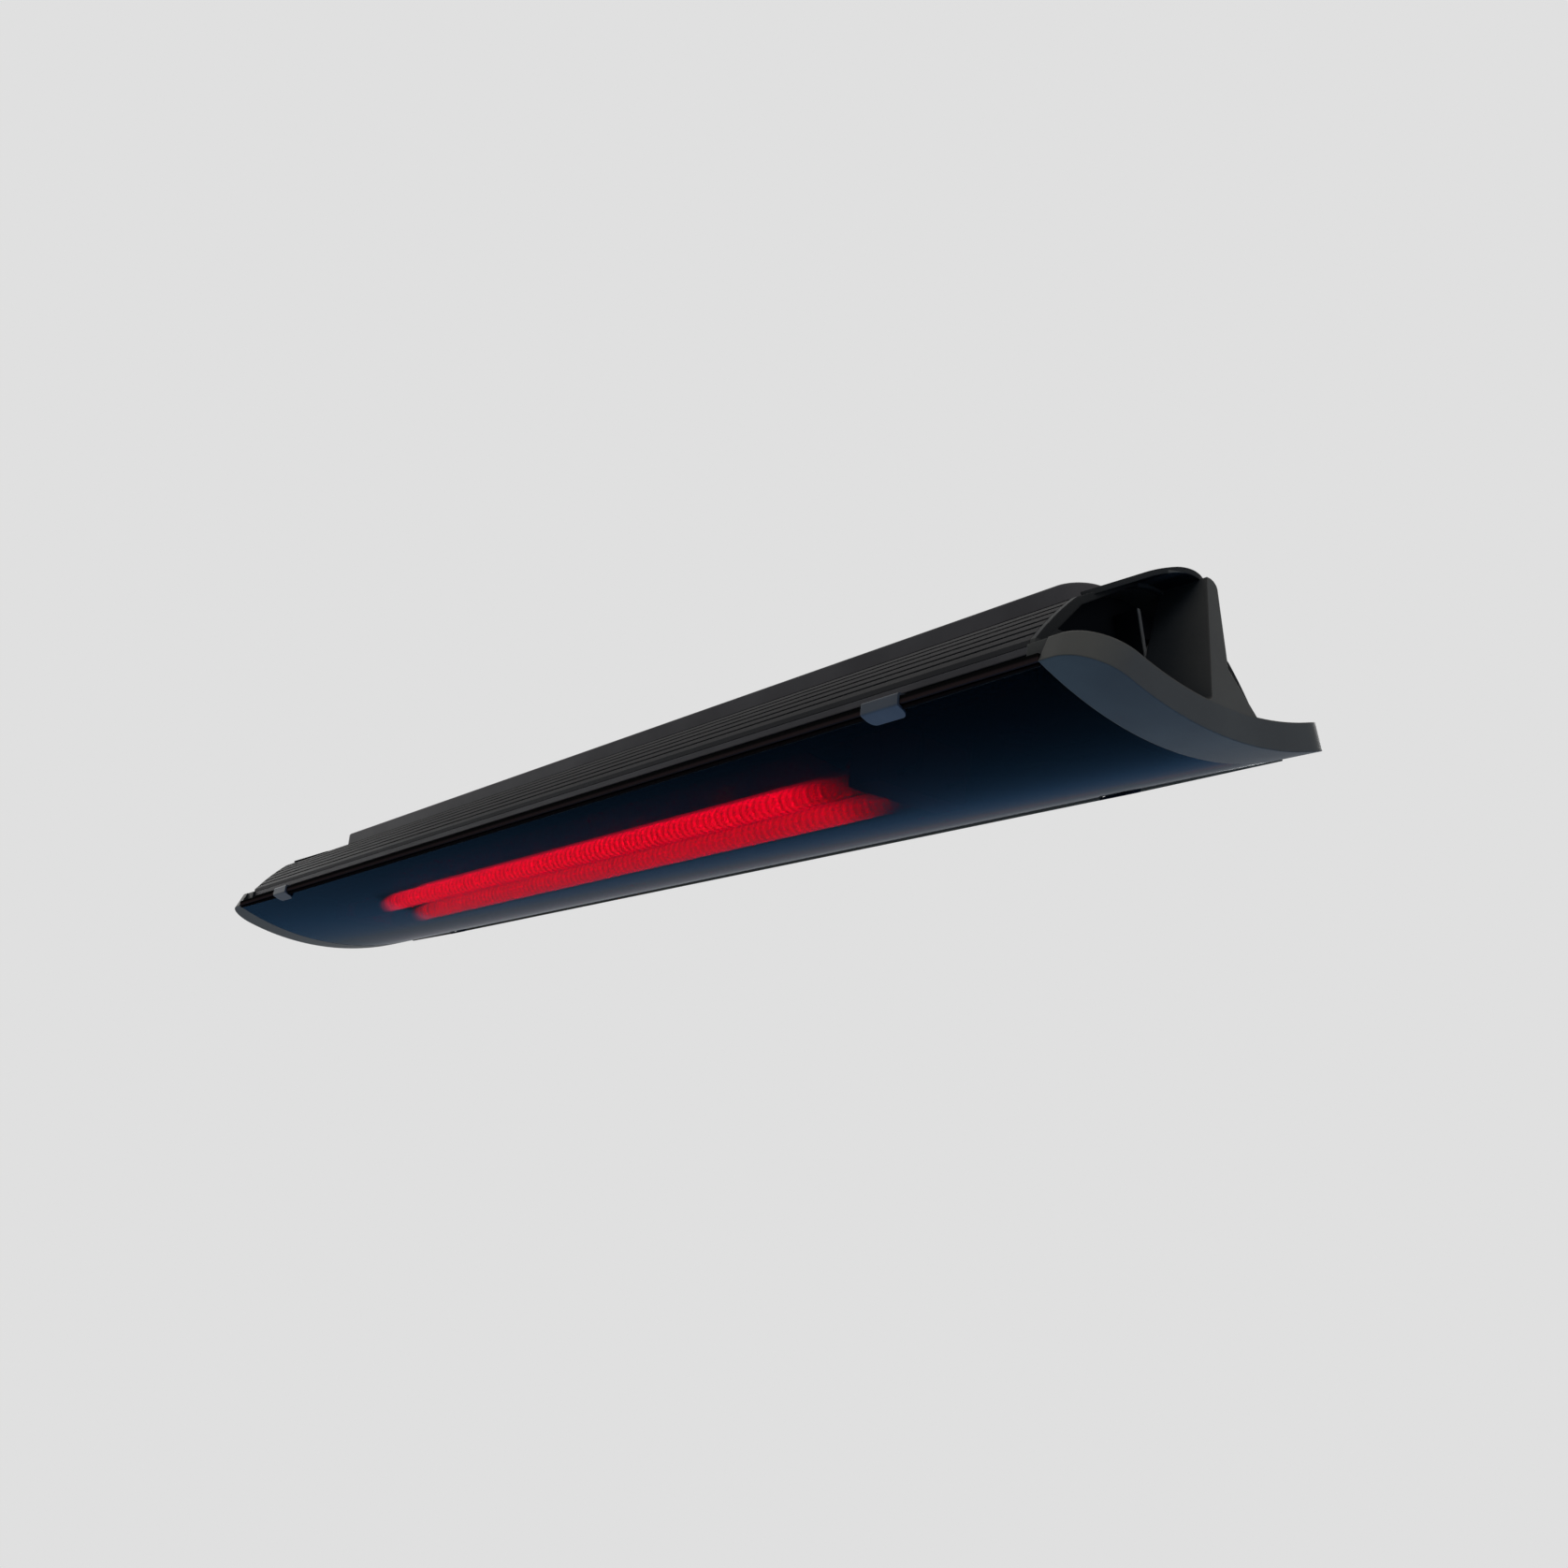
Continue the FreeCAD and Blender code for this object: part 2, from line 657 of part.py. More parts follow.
def make_cap(name, half_turn):
    """End cap: hood nose, leaning fin with a flared foot, back wall and curved face plate."""
    body = new_body(name)
    visor = new_sketch(body, f"{name}_visor", "YZ_Plane", cap_start)
    inner_radius = crown_radius - S["visor_thickness"]
    root_drop = (S["nose_root_half_width"] - S["crown_half_width"]) * roof_rise / roof_run
    visor_side = S["crown_side_height"] + S["visor_rise"]
    root_top = visor_side - root_drop
    inner_side = S["crown_half_width"] - S["visor_thickness"] * roof_rise / roof_slope
    inner_up = visor_side - S["visor_thickness"] * roof_run / roof_slope
    inner_root = S["nose_root_half_width"] - S["visor_thickness"] * roof_rise / roof_slope
    inner_root_up = root_top - S["visor_thickness"] * roof_run / roof_slope
    outline(visor, [
        (S["nose_root_half_width"], root_top),
        (S["crown_half_width"], visor_side, crown_radius, 1),
        (-S["crown_half_width"], visor_side),
        (-S["nose_root_half_width"], root_top),
        (-inner_root, inner_root_up),
        (-inner_side, inner_up, inner_radius, -1),
        (inner_side, inner_up),
        (inner_root, inner_root_up),
    ])
    pad(body, visor, S["nose_length"] + S["cut_overrun"])
    plan = new_sketch(body, f"{name}_nose_plan", "XY_Plane")
    tip = cap_start + S["nose_length"]
    ahead = tip + S["cut_overrun"] * 2
    reach = S["nose_root_half_width"] + S["cut_overrun"]
    outline(plan, [
        (cap_start, S["nose_root_half_width"]),
        (tip, S["nose_half_width"], S["nose_tip_radius"], -1),
        (tip, -S["nose_half_width"]),
        (cap_start, -S["nose_root_half_width"]),
        (cap_start, -reach),
        (ahead, -reach),
        (ahead, reach),
        (cap_start, reach),
    ])
    pocket(body, plan, S["rail_top_height"], reverse=True)
    collar = new_sketch(body, f"{name}_collar", "YZ_Plane", cap_start)
    collar_outline(collar)
    pad(body, collar, S["collar_length"])
    fin = new_sketch(body, f"{name}_fin", "YZ_Plane", cap_start)
    fin_bottom = S["flange_thickness"] / 2
    fin_top = crown_centre + crown_radius + S["visor_rise"] - S["visor_thickness"]
    fin_round = S["fin_top_radius"]
    outline(fin, [
        (-S["fin_near_foot"], fin_bottom),
        (S["fin_flare_foot"], fin_bottom),
        (S["fin_flare_foot"], S["flange_thickness"]),
        (S["fin_flare_top"], S["fin_flare_height"]),
        (S["fin_far_top"], fin_top - fin_round, fin_round, 1),
        (S["fin_far_top"] - fin_round, fin_top),
        (S["fin_near_top"], fin_top),
    ])
    pad(body, fin, half_length - cap_start)
    lean = new_sketch(body, f"{name}_fin_lean", "XZ_Plane")
    outline(lean, [
        (half_length, S["flange_thickness"]),
        (half_length + S["cut_overrun"], S["flange_thickness"]),
        (half_length + S["cut_overrun"], S["rail_top_height"]),
        (half_length - S["fin_lean"], S["rail_top_height"]),
    ])
    pocket(body, lean, S["overall_width"], symmetric=True)
    wall = new_sketch(body, f"{name}_back_wall", "YZ_Plane", cap_start)
    wall_side = S["skirt_half_width"] - S["fit_gap"]
    wall_offset = S["flange_thickness"] / 2
    wall_bottom = front_height(wall_side, wall_offset)
    wall_top_side = wall_side - (deck_top - S["foot_height"]) * flank_run / flank_rise
    outline(wall, [
        (-wall_side, wall_bottom, S["front_radius"] - wall_offset, 1),
        (wall_side, wall_bottom),
        (wall_side, S["foot_height"]),
        (wall_top_side, deck_top),
        (-wall_top_side, deck_top),
        (-wall_side, S["foot_height"]),
    ])
    pad(body, wall, S["back_wall_thickness"])
    screw_holes = new_sketch(body, f"{name}_screw_holes", "YZ_Plane", cap_start)
    for side in SIDES.values():
        circle(screw_holes, S["screw_boss_spread"] * side, boss_height, S["cap_screw_radius"] + S["fit_gap"])
    pocket(body, screw_holes, S["back_wall_thickness"], reverse=True)
    shelf = new_sketch(body, f"{name}_shelf", "YZ_Plane", cap_start)
    shelf_offset = S["glass_thickness"] + S["fit_gap"] * 2
    arc_plate(shelf, wall_side, shelf_offset)
    pad(body, shelf, cap_face_start - cap_start)
    cheeks = new_sketch(body, f"{name}_cheeks", "YZ_Plane", cap_start)
    cheek_inner = wall_side - S["wall_thickness"]
    cheek_outer = S["foot_half_width"] + S["cheek_overhang"]
    cheek_bottom = trim_top + S["fit_gap"]
    for side in SIDES.values():
        box_outline(cheeks, cheek_inner * side, cheek_bottom, cheek_outer * side, foot_bottom)
    pad(body, cheeks, cap_face_start - cap_start)
    face = new_sketch(body, f"{name}_face", "YZ_Plane", cap_face_start)
    arc_plate(face, half_width, zero)
    pad(body, face, S["cap_face_length"])

    def at_corner(edge):
        box = edge.BoundBox
        far_out = max(abs(box.YMin), abs(box.YMax)) > half_width.number - S["fit_gap"].number
        return near(box.XMin, half_length) and near(box.XMax, half_length) and far_out and box.YLength < (
            S["flange_thickness"].number)

    fillet(body, S["cap_corner_radius"], at_corner)

    def at_fin_root(edge):
        box = edge.BoundBox
        beside = -S["fin_near_foot"].number < box.YMin and box.YMax < 0
        low = box.ZMax < S["flange_thickness"].number + S["fin_root_radius"].number
        return beside and low and box.XLength > S["cap_face_length"].number / 2

    fillet(body, S["fin_root_radius"], at_fin_root)
    return place(body, half_turn=half_turn)


def collar_outline(sketch):
    """Smooth rim at the housing's end: the profile without its ribs outside, the hollow inside."""
    floor, inner_foot, inner_crease, crease_up, inner_crown, crown_up, inner_radius = chamber_sizes(zero)
    outline(sketch, [
        (skirt_inner, foot_bottom),
        (S["foot_half_width"], foot_bottom),
        (S["foot_half_width"], S["foot_height"], flank_radius, 1),
        (S["crease_half_width"], S["crease_height"]),
        (S["crown_half_width"], S["crown_side_height"], crown_radius, 1),
        (-S["crown_half_width"], S["crown_side_height"]),
        (-S["crease_half_width"], S["crease_height"], flank_radius, 1),
        (-S["foot_half_width"], S["foot_height"]),
        (-S["foot_half_width"], foot_bottom),
        (-skirt_inner, foot_bottom),
        (-inner_foot, floor),
        (-inner_crease, crease_up),
        (-inner_crown, crown_up, inner_radius, -1),
        (inner_crown, crown_up),
        (inner_crease, crease_up),
        (inner_foot, floor),
    ])


def arc_plate(sketch, side, offset):
    """Section of a plate that follows the curved front, from an offset up to the flange's top."""
    top_radius = S["front_radius"] - S["flange_thickness"]
    bottom_radius = S["front_radius"] - offset
    side_top = side * top_radius / S["front_radius"]
    bottom = front_height(side, offset)
    top = front_height(side_top, S["flange_thickness"])
    outline(sketch, [
        (-side, bottom, bottom_radius, 1),
        (side, bottom),
        (side_top, top, top_radius, -1),
        (-side_top, top),
    ])


def make_cap_screws():
    body = new_body("cap_screws")
    for end_name, end in ENDS.items():
        face = (cap_start + S["back_wall_thickness"]) * end
        heads = new_sketch(body, f"cap_screw_heads_{end_name}", "YZ_Plane", face)
        shanks = new_sketch(body, f"cap_screw_shanks_{end_name}", "YZ_Plane", face)
        for side in SIDES.values():
            circle(heads, S["screw_boss_spread"] * side, boss_height, S["cap_screw_head_radius"])
            circle(shanks, S["screw_boss_spread"] * side, boss_height, S["cap_screw_radius"])
        pad(body, heads, S["cap_screw_head_height"], reverse=end < 0)
        pad(body, shanks, S["cap_screw_length"], reverse=end > 0)
    return body


plate_place = housing_end - S["plate_recess"]
gland_across = S["gland_across"]
gland_up = (S["tab_low"] + S["tab_high"]) / 2


def make_end_plate(name, half_turn, with_gland):
    """Sheet plate that closes the roof hollow, with a folded tab and, at one end, the hole of the gland."""
    body = new_body(name)
    sheet_plate = new_sketch(body, f"{name}_plate", "YZ_Plane", plate_place)
    chamber_outline(sheet_plate, S["fit_gap"])
    if with_gland:
        circle(sheet_plate, gland_across, gland_up, S["gland_radius"] + S["fit_gap"])
    pad(body, sheet_plate, S["plate_thickness"])
    tab = new_sketch(body, f"{name}_tab", "YZ_Plane", plate_place)
    outline(tab, [
        (-S["tab_foot"], S["tab_low"]),
        (-S["tab_foot"] + S["tab_thickness"], S["tab_low"]),
        (-S["tab_top"] + S["tab_thickness"], S["tab_high"]),
        (-S["tab_top"], S["tab_high"]),
    ])
    pad(body, tab, S["plate_recess"] - S["fit_gap"])
    return place(body, half_turn=half_turn)


def make_gland():
    """Cable gland: threaded tube with a bore, a hexagon nut on each side of the plate."""
    body = new_body("cable_gland")
    inner_face = plate_place
    outer_face = plate_place + S["plate_thickness"]
    tube = new_sketch(body, "gland_tube", "YZ_Plane", inner_face - S["gland_tail_length"])
    circle(tube, gland_across, gland_up, S["gland_radius"])
    total = S["gland_tail_length"] * 2 + S["plate_thickness"]
    pad(body, tube, total)
    for label, start, reverse in (("inner", inner_face, True), ("outer", outer_face, False)):
        nut = new_sketch(body, f"gland_{label}_nut", "YZ_Plane", start)
        corners = []
        for corner in range(GLAND_SIDES):
            turn = 2 * math.pi * corner / GLAND_SIDES
            corners.append((
                gland_across + S["gland_nut_radius"] * math.cos(turn),
                gland_up + S["gland_nut_radius"] * math.sin(turn),
            ))
        outline(nut, corners)
        pad(body, nut, S["gland_nut_length"], reverse=reverse)
    bore = new_sketch(body, "gland_bore", "YZ_Plane", inner_face - S["gland_tail_length"])
    circle(bore, gland_across, gland_up, S["gland_bore_radius"])
    pocket(body, bore, total, reverse=True)
    return body


def make_tube(name, side):
    body = new_body(name)
    ring = new_sketch(body, f"{name}_ring", "YZ_Plane")
    circle(ring, zero, zero, S["tube_radius"])
    circle(ring, zero, zero, S["tube_radius"] - S["tube_wall"])
    pad(body, ring, tube_length, symmetric=True)
    return place(body, along=tube_middle, across=tube_side * side, up=S["tube_height"])


def make_filament(name, side):
    """Spiral filament: one unbroken wire along the tube's middle, made of biarcs."""
    pitch = (tube_length - S["filament_inset"] * 2).number / FILAMENT_CURLS
    radius = S["filament_radius"].number
    slope = pitch / (2 * math.pi)

    def helix_point(turn):
        return FreeCAD.Vector(slope * turn, radius * math.cos(turn), radius * math.sin(turn))

    def helix_direction(turn):
        return FreeCAD.Vector(slope, -radius * math.sin(turn), radius * math.cos(turn)).normalize()

    edges = []
    step = 2 * math.pi / QUARTERS_PER_CURL
    first_turn = -math.pi * FILAMENT_CURLS
    for index in range(FILAMENT_CURLS * QUARTERS_PER_CURL):
        start_turn = first_turn + index * step
        edges.extend(biarc(
            helix_point(start_turn), helix_direction(start_turn),
            helix_point(start_turn + step), helix_direction(start_turn + step)))
    spine = Part.Wire(edges)
    start = helix_point(first_turn)
    section = Part.Wire(Part.makeCircle(S["filament_wire_radius"].number, start, helix_direction(first_turn)))
    wire = spine.makePipeShell([section], True, False)
    least_gap = pitch - 2 * S["filament_wire_radius"].number
    print(f"{name}: least gap between curls {least_gap:.2f} mm")
    item = doc.addObject("Part::Feature", name)
    item.Label = name
    item.Shape = wire
    middle = FreeCAD.Vector(tube_middle.number, tube_side.number * side, S["tube_height"].number)
    item.Placement = FreeCAD.Placement(middle, FreeCAD.Rotation())
    return item


def biarc(start, start_way, end, end_way):
    """Two arcs that leave start and reach end along the given ways and meet smoothly."""
    chord = end - start
    ways = start_way + end_way
    a = 2 * (1 - start_way.dot(end_way))
    b = 2 * chord.dot(ways)
    c = -chord.dot(chord)
    reach = -c / b if abs(a) < 1e-9 else (-b + math.sqrt(b * b - 4 * a * c)) / (2 * a)
    first_corner = start + start_way * reach
    last_corner = end - end_way * reach
    joint = (first_corner + last_corner) / 2
    return [tangent_arc(start, first_corner, joint), tangent_arc(joint, last_corner, end)]


def tangent_arc(start, corner, end):
    """Arc from start to end whose tangents meet at the corner."""
    middle = (start + end) / 2
    half = (end - start).Length / 2
    rise = (corner - middle).Length
    leg = (corner - start).Length
    sagitta = rise * half / (half + leg)
    return Part.Arc(start, middle + (corner - middle).normalize() * sagitta, end).toShape()


def make_reflector():
    """Bright sheet with a round trough over each tube and wings that stand on the skirts."""
    body = new_body("reflector")
    inner = S["reflector_radius"]
    outer = inner + S["reflector_thickness"]
    edge_up = S["tube_height"] + S["reflector_edge_rise"]
    inner_reach = root(inner * inner - S["reflector_edge_rise"] * S["reflector_edge_rise"])
    outer_reach = root(outer * outer - S["reflector_edge_rise"] * S["reflector_edge_rise"])
    ridge_up = edge_up + S["ridge_thickness"]
    ridge_rise = S["reflector_edge_rise"] + S["ridge_thickness"]
    ridge_reach = root(outer * outer - ridge_rise * ridge_rise)
    wing = skirt_inner
    wing_inner = wing - S["reflector_thickness"]
    below_right = [
        (tube_side - inner_reach, edge_up, inner, -1),
        (tube_side + inner_reach, edge_up),
        (wing, S["reflector_wing_height"]),
        (wing, S["reflector_lip_height"]),
        (wing_inner, S["reflector_lip_height"]),
        (wing_inner, S["reflector_wing_height"] + S["reflector_thickness"]),
        (tube_side + outer_reach, edge_up + S["reflector_thickness"] / 2, outer, 1),
        (tube_side - ridge_reach, ridge_up),
    ]
    below_left = [
        (-(tube_side - ridge_reach), ridge_up, outer, 1),
        (-(tube_side + outer_reach), edge_up + S["reflector_thickness"] / 2),
        (-wing_inner, S["reflector_wing_height"] + S["reflector_thickness"]),
        (-wing_inner, S["reflector_lip_height"]),
        (-wing, S["reflector_lip_height"]),
        (-wing, S["reflector_wing_height"]),
        (-(tube_side + inner_reach), edge_up, inner, -1),
        (-(tube_side - inner_reach), edge_up),
    ]
    section = new_sketch(body, "reflector_section", "YZ_Plane")
    outline(section, below_right + below_left)
    pad(body, section, reflector_length, symmetric=True)
    return place(body, along=tube_middle)


def make_mat():
    body = new_body("insulation_mat")
    section = new_sketch(body, "mat_section", "YZ_Plane")
    bottom = S["tube_height"] + S["reflector_radius"] + S["reflector_thickness"]
    side = skirt_inner - S["mat_gap"]
    box_outline(section, -side, bottom, side, S["deck_height"])
    pad(body, section, reflector_length, symmetric=True)
    return place(body, along=tube_middle)


def make_holder(name, half_turn):
    """Ceramic block under the deck with a blind bore for each tube end and a way out for its lead."""
    body = new_body(name)
    start = tube_length / 2 - S["holder_bore_depth"]
    block = new_sketch(body, f"{name}_block", "YZ_Plane", start)
    box_outline(block, -S["holder_half_width"], S["holder_base_height"],
                S["holder_half_width"], S["deck_height"])
    pad(body, block, S["holder_length"])
    bores = new_sketch(body, f"{name}_bores", "YZ_Plane", start)
    leads = new_sketch(body, f"{name}_lead_ways", "YZ_Plane", start)
    for side in SIDES.values():
        circle(bores, tube_side * side, S["tube_height"], S["tube_radius"] + S["fit_gap"])
        circle(leads, tube_side * side, S["tube_height"], S["lead_radius"] + S["fit_gap"])
    pocket(body, bores, S["holder_bore_depth"], reverse=True)
    pocket(body, leads, S["holder_length"], reverse=True)
    return place(body, along=tube_middle, half_turn=half_turn)



def make_lead(name, side):
    """Supply lead: out of a tube end, up through the deck and along to the terminal block."""
    corners = [
        (tube_right, S["tube_height"]),
        (lead_rise, S["tube_height"]),
        (lead_rise, S["lead_height"]),
        (block_start + S["block_bore_radius"], S["lead_height"]),
    ]
    item = doc.addObject("Part::Feature", name)
    item.Label = name
    item.Shape = bent_wire([FreeCAD.Vector(a.number, 0, b.number) for a, b in corners])
    item.Placement = FreeCAD.Placement(FreeCAD.Vector(0, tube_side.number * side, 0), FreeCAD.Rotation())
    return item


def make_link_lead():
    """Link at the far end that joins the two tubes in series."""
    turn = tube_left - S["holder_bore_depth"] + S["holder_length"] + S["lead_clear"]
    corners = [(-tube_left, -tube_side), (-turn, -tube_side), (-turn, tube_side), (-tube_left, tube_side)]
    item = doc.addObject("Part::Feature", "link_lead")
    item.Label = "link_lead"
    item.Shape = bent_wire([FreeCAD.Vector(a.number, b.number, 0) for a, b in corners])
    item.Placement = FreeCAD.Placement(FreeCAD.Vector(0, 0, S["tube_height"].number), FreeCAD.Rotation())
    return item


def bent_wire(corners):
    """Solid round wire along straight runs with round bends at the corners."""
    bend = S["lead_bend"].number
    edges = []
    start = corners[0]
    for before, corner, after in zip(corners, corners[1:], corners[2:]):
        back = (before - corner).normalize()
        onward = (after - corner).normalize()
        reach = bend / math.tan(back.getAngle(onward) / 2)
        first = corner + back * reach
        last = corner + onward * reach
        edges.append(Part.makeLine(start, first))
        edges.append(tangent_arc(first, corner, last))
        start = last
    edges.append(Part.makeLine(start, corners[-1]))
    section = Part.Wire(Part.makeCircle(S["lead_radius"].number, corners[0], corners[1] - corners[0]))
    return Part.Wire(edges).makePipeShell([section], True, False)


def make_terminal_block():
    body = new_body("terminal_block")
    base = new_sketch(body, "block_base", "XY_Plane", deck_top)
    reach = tube_side + S["block_width"] / 2
    box_outline(base, block_start, -reach, block_end, reach)
    pad(body, base, S["block_height"])
    ways = new_sketch(body, "block_ways", "YZ_Plane", block_start)
    for side in SIDES.values():
        circle(ways, tube_side * side, S["lead_height"], S["block_bore_radius"])
    pocket(body, ways, S["block_length"], reverse=True)
    return body


def make_cutout():
    """Disc thermostat hung under the deck beside the tubes."""
    body = new_body("thermal_cutout")
    cutout_place = holder_right + S["cutout_clear"]
    flange = new_sketch(body, "cutout_flange", "XY_Plane", S["deck_height"])
    circle(flange, cutout_place, S["cutout_offset"], S["cutout_flange_radius"])
    pad(body, flange, S["cutout_flange_height"], reverse=True)
    can = new_sketch(body, "cutout_can", "XY_Plane", S["deck_height"])
    circle(can, cutout_place, S["cutout_offset"], S["cutout_radius"])
    pad(body, can, S["cutout_height"], reverse=True)
    return body


def make_earth_screw():
    body = new_body("earth_screw")
    head = new_sketch(body, "earth_head", "XY_Plane", deck_top)
    side = chamber_sizes(zero)[1] - S["earth_screw_inset"]
    circle(head, block_end + S["earth_screw_clear"], side, S["earth_screw_head_radius"])
    pad(body, head, S["earth_screw_head_height"])
    return body


parts = [make_housing(), make_rail(), make_rail_screws(), make_glass(), make_cap_screws(), make_gland()]
for side_name, side in SIDES.items():
    turned = side < 0
    parts.append(make_seal(f"glass_seal_{side_name}", turned))
    parts.append(make_trim(f"edge_trim_{side_name}", turned))
    parts.append(make_clip_screws(f"clip_screws_{side_name}", turned))
    parts.append(make_tube(f"quartz_tube_{side_name}", side))
    parts.append(make_filament(f"carbon_filament_{side_name}", side))
    parts.append(make_lead(f"supply_lead_{side_name}", side))
    for end_name, end in ENDS.items():
        along = clip_place * end
        parts.append(make_clip(f"glass_clip_{side_name}_{end_name}", along, turned))
for end_name, end in ENDS.items():
    turned = end < 0
    parts.append(make_cap(f"end_cap_{end_name}", turned))
    parts.append(make_end_plate(f"end_plate_{end_name}", turned, end > 0))
    parts.append(make_holder(f"tube_holder_{end_name}", turned))
parts.extend([make_reflector(), make_mat(), make_link_lead()])
parts.extend([make_terminal_block(), make_cutout(), make_earth_screw()])

doc.recompute()
for item in doc.Objects:
    if "Invalid" in item.State or "Error" in item.State:
        raise RuntimeError(f"{item.Name} failed: {item.State}")
for item in parts:
    if item.Shape.isNull() or not item.Shape.isValid():
        raise RuntimeError(f"{item.Label} has no valid shape")
for item in parts:
    item.Shape.exportStep(f"parts/{item.Label}.step")
    box = item.Shape.BoundBox
    ranges = [f"{low:.1f}..{high:.1f}" for low, high in (
        (box.XMin, box.XMax), (box.YMin, box.YMax), (box.ZMin, box.ZMax))]
    print(f"{item.Label}: {len(item.Shape.Solids)} solid, {item.Shape.Volume:.0f} mm3, {' by '.join(ranges)}")
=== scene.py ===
import json
import math

import bpy
from mathutils import Euler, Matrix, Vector


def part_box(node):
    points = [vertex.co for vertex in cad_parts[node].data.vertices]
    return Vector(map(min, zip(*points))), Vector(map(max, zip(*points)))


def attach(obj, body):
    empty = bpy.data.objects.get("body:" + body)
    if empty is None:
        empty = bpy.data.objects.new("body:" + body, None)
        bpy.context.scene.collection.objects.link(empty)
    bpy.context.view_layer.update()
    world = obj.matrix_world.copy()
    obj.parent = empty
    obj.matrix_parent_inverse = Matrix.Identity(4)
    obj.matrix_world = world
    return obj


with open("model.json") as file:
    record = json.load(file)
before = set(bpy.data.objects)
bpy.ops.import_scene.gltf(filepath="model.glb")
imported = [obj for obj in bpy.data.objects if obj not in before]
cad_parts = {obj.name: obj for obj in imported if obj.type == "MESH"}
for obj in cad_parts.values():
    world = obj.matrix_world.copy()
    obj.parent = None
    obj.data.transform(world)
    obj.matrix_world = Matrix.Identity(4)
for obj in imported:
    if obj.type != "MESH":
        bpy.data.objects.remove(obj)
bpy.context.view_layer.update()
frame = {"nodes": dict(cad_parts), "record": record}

NODES = frame["nodes"]
MM = 0.001
WHITE = "#ffffff"


def linear(hex_colour):
    """sRGB hex colour as the linear values that the shaders take."""
    channels = [int(hex_colour[i:i + 2], 16) / 255 for i in (1, 3, 5)]
    return [c / 12.92 if c <= 0.04045 else ((c + 0.055) / 1.055) ** 2.4 for c in channels] + [1.0]


def node(tree, kind, sockets=None, stops=(), **settings):
    """Adds one shader node and gives back its outputs.

    A socket takes a number, a hex colour or the output that is linked to it. The stops are the two places and
    colours of a colour ramp. The settings are the node's own properties.
    """
    made = tree.nodes.new("ShaderNode" + kind)
    for name, value in settings.items():
        setattr(made, name, value)
    for name, value in (sockets or {}).items():
        if isinstance(value, bpy.types.NodeSocket):
            tree.links.new(value, made.inputs[name])
        else:
            made.inputs[name].default_value = linear(value) if isinstance(value, str) else value
    for index, (position, hex_colour) in enumerate(stops):
        made.color_ramp.elements[index].position = position
        made.color_ramp.elements[index].color = linear(hex_colour)
    return made.outputs


def new_material(name):
    """Material with an empty node tree."""
    made = bpy.data.materials.new(name)
    made.use_nodes = True
    made.node_tree.nodes.clear()
    return made, made.node_tree


def own_place(tree):
    """X, Y and Z of a point on the piece, in metres."""
    return node(tree, "SeparateXYZ", {"Vector": node(tree, "TexCoord")["Object"]})


def grain(tree, size_mm, detail, stretch=(1, 1, 1)):
    """Noise whose features are about size_mm wide, and longer along an axis whose stretch is under one."""
    spread = node(tree, "Mapping", {"Vector": node(tree, "TexCoord")["Object"], "Scale": stretch})[0]
    return node(tree, "TexNoise", {"Vector": spread, "Scale": 1 / (size_mm * MM), "Detail": detail})["Fac"]


# Powder coat: width of its cloudy tone in millimetres, swing of its roughness, relief of its orange peel, the
# painted shade of its recesses, and how open a place is where that painted shade is full and where it ends
CLOUD_MM = 60
GLOSS_SWING = 0.06
PEEL_STRENGTH = 0.22
PEEL_HEIGHT_MM = 0.08
RECESS_SHADE_TINT = "#8b97a8"
RECESS_SHADE_OPEN = (0.5, 0.98)

# Where the painted shade on an end cap's hood and collar sets in, in millimetres: beside the fin, above the
# foot and on the crown
HOOD_SHADE_BESIDE_MM = (13.5, 14.5)
HOOD_SHADE_ABOVE_MM = (35, 37)
HOOD_SHADE_CROWN_MM = (88.5, 89)


def hood_shade_share(tree):
    """Painted shade share: one on an end cap's hood and collar, zero on its fin, its face plate and its foot.
    """
    place = own_place(tree)
    aside = node(tree, "Math", {0: place["Y"]}, operation="ABSOLUTE")[0]
    steps = []
    for value, limits in ((aside, HOOD_SHADE_BESIDE_MM), (place["Z"], HOOD_SHADE_ABOVE_MM), (place["Z"], HOOD_SHADE_CROWN_MM)):
        start, end = limits
        steps.append(node(tree, "MapRange", {"Value": value, "From Min": start * MM, "From Max": end * MM},
                          interpolation_type="SMOOTHSTEP")[0])
    beside, above, crown = steps
    sides = node(tree, "Math", {0: beside, 1: above}, operation="MULTIPLY")[0]
    return node(tree, "Math", {0: sides, 1: crown}, operation="MAXIMUM")[0]


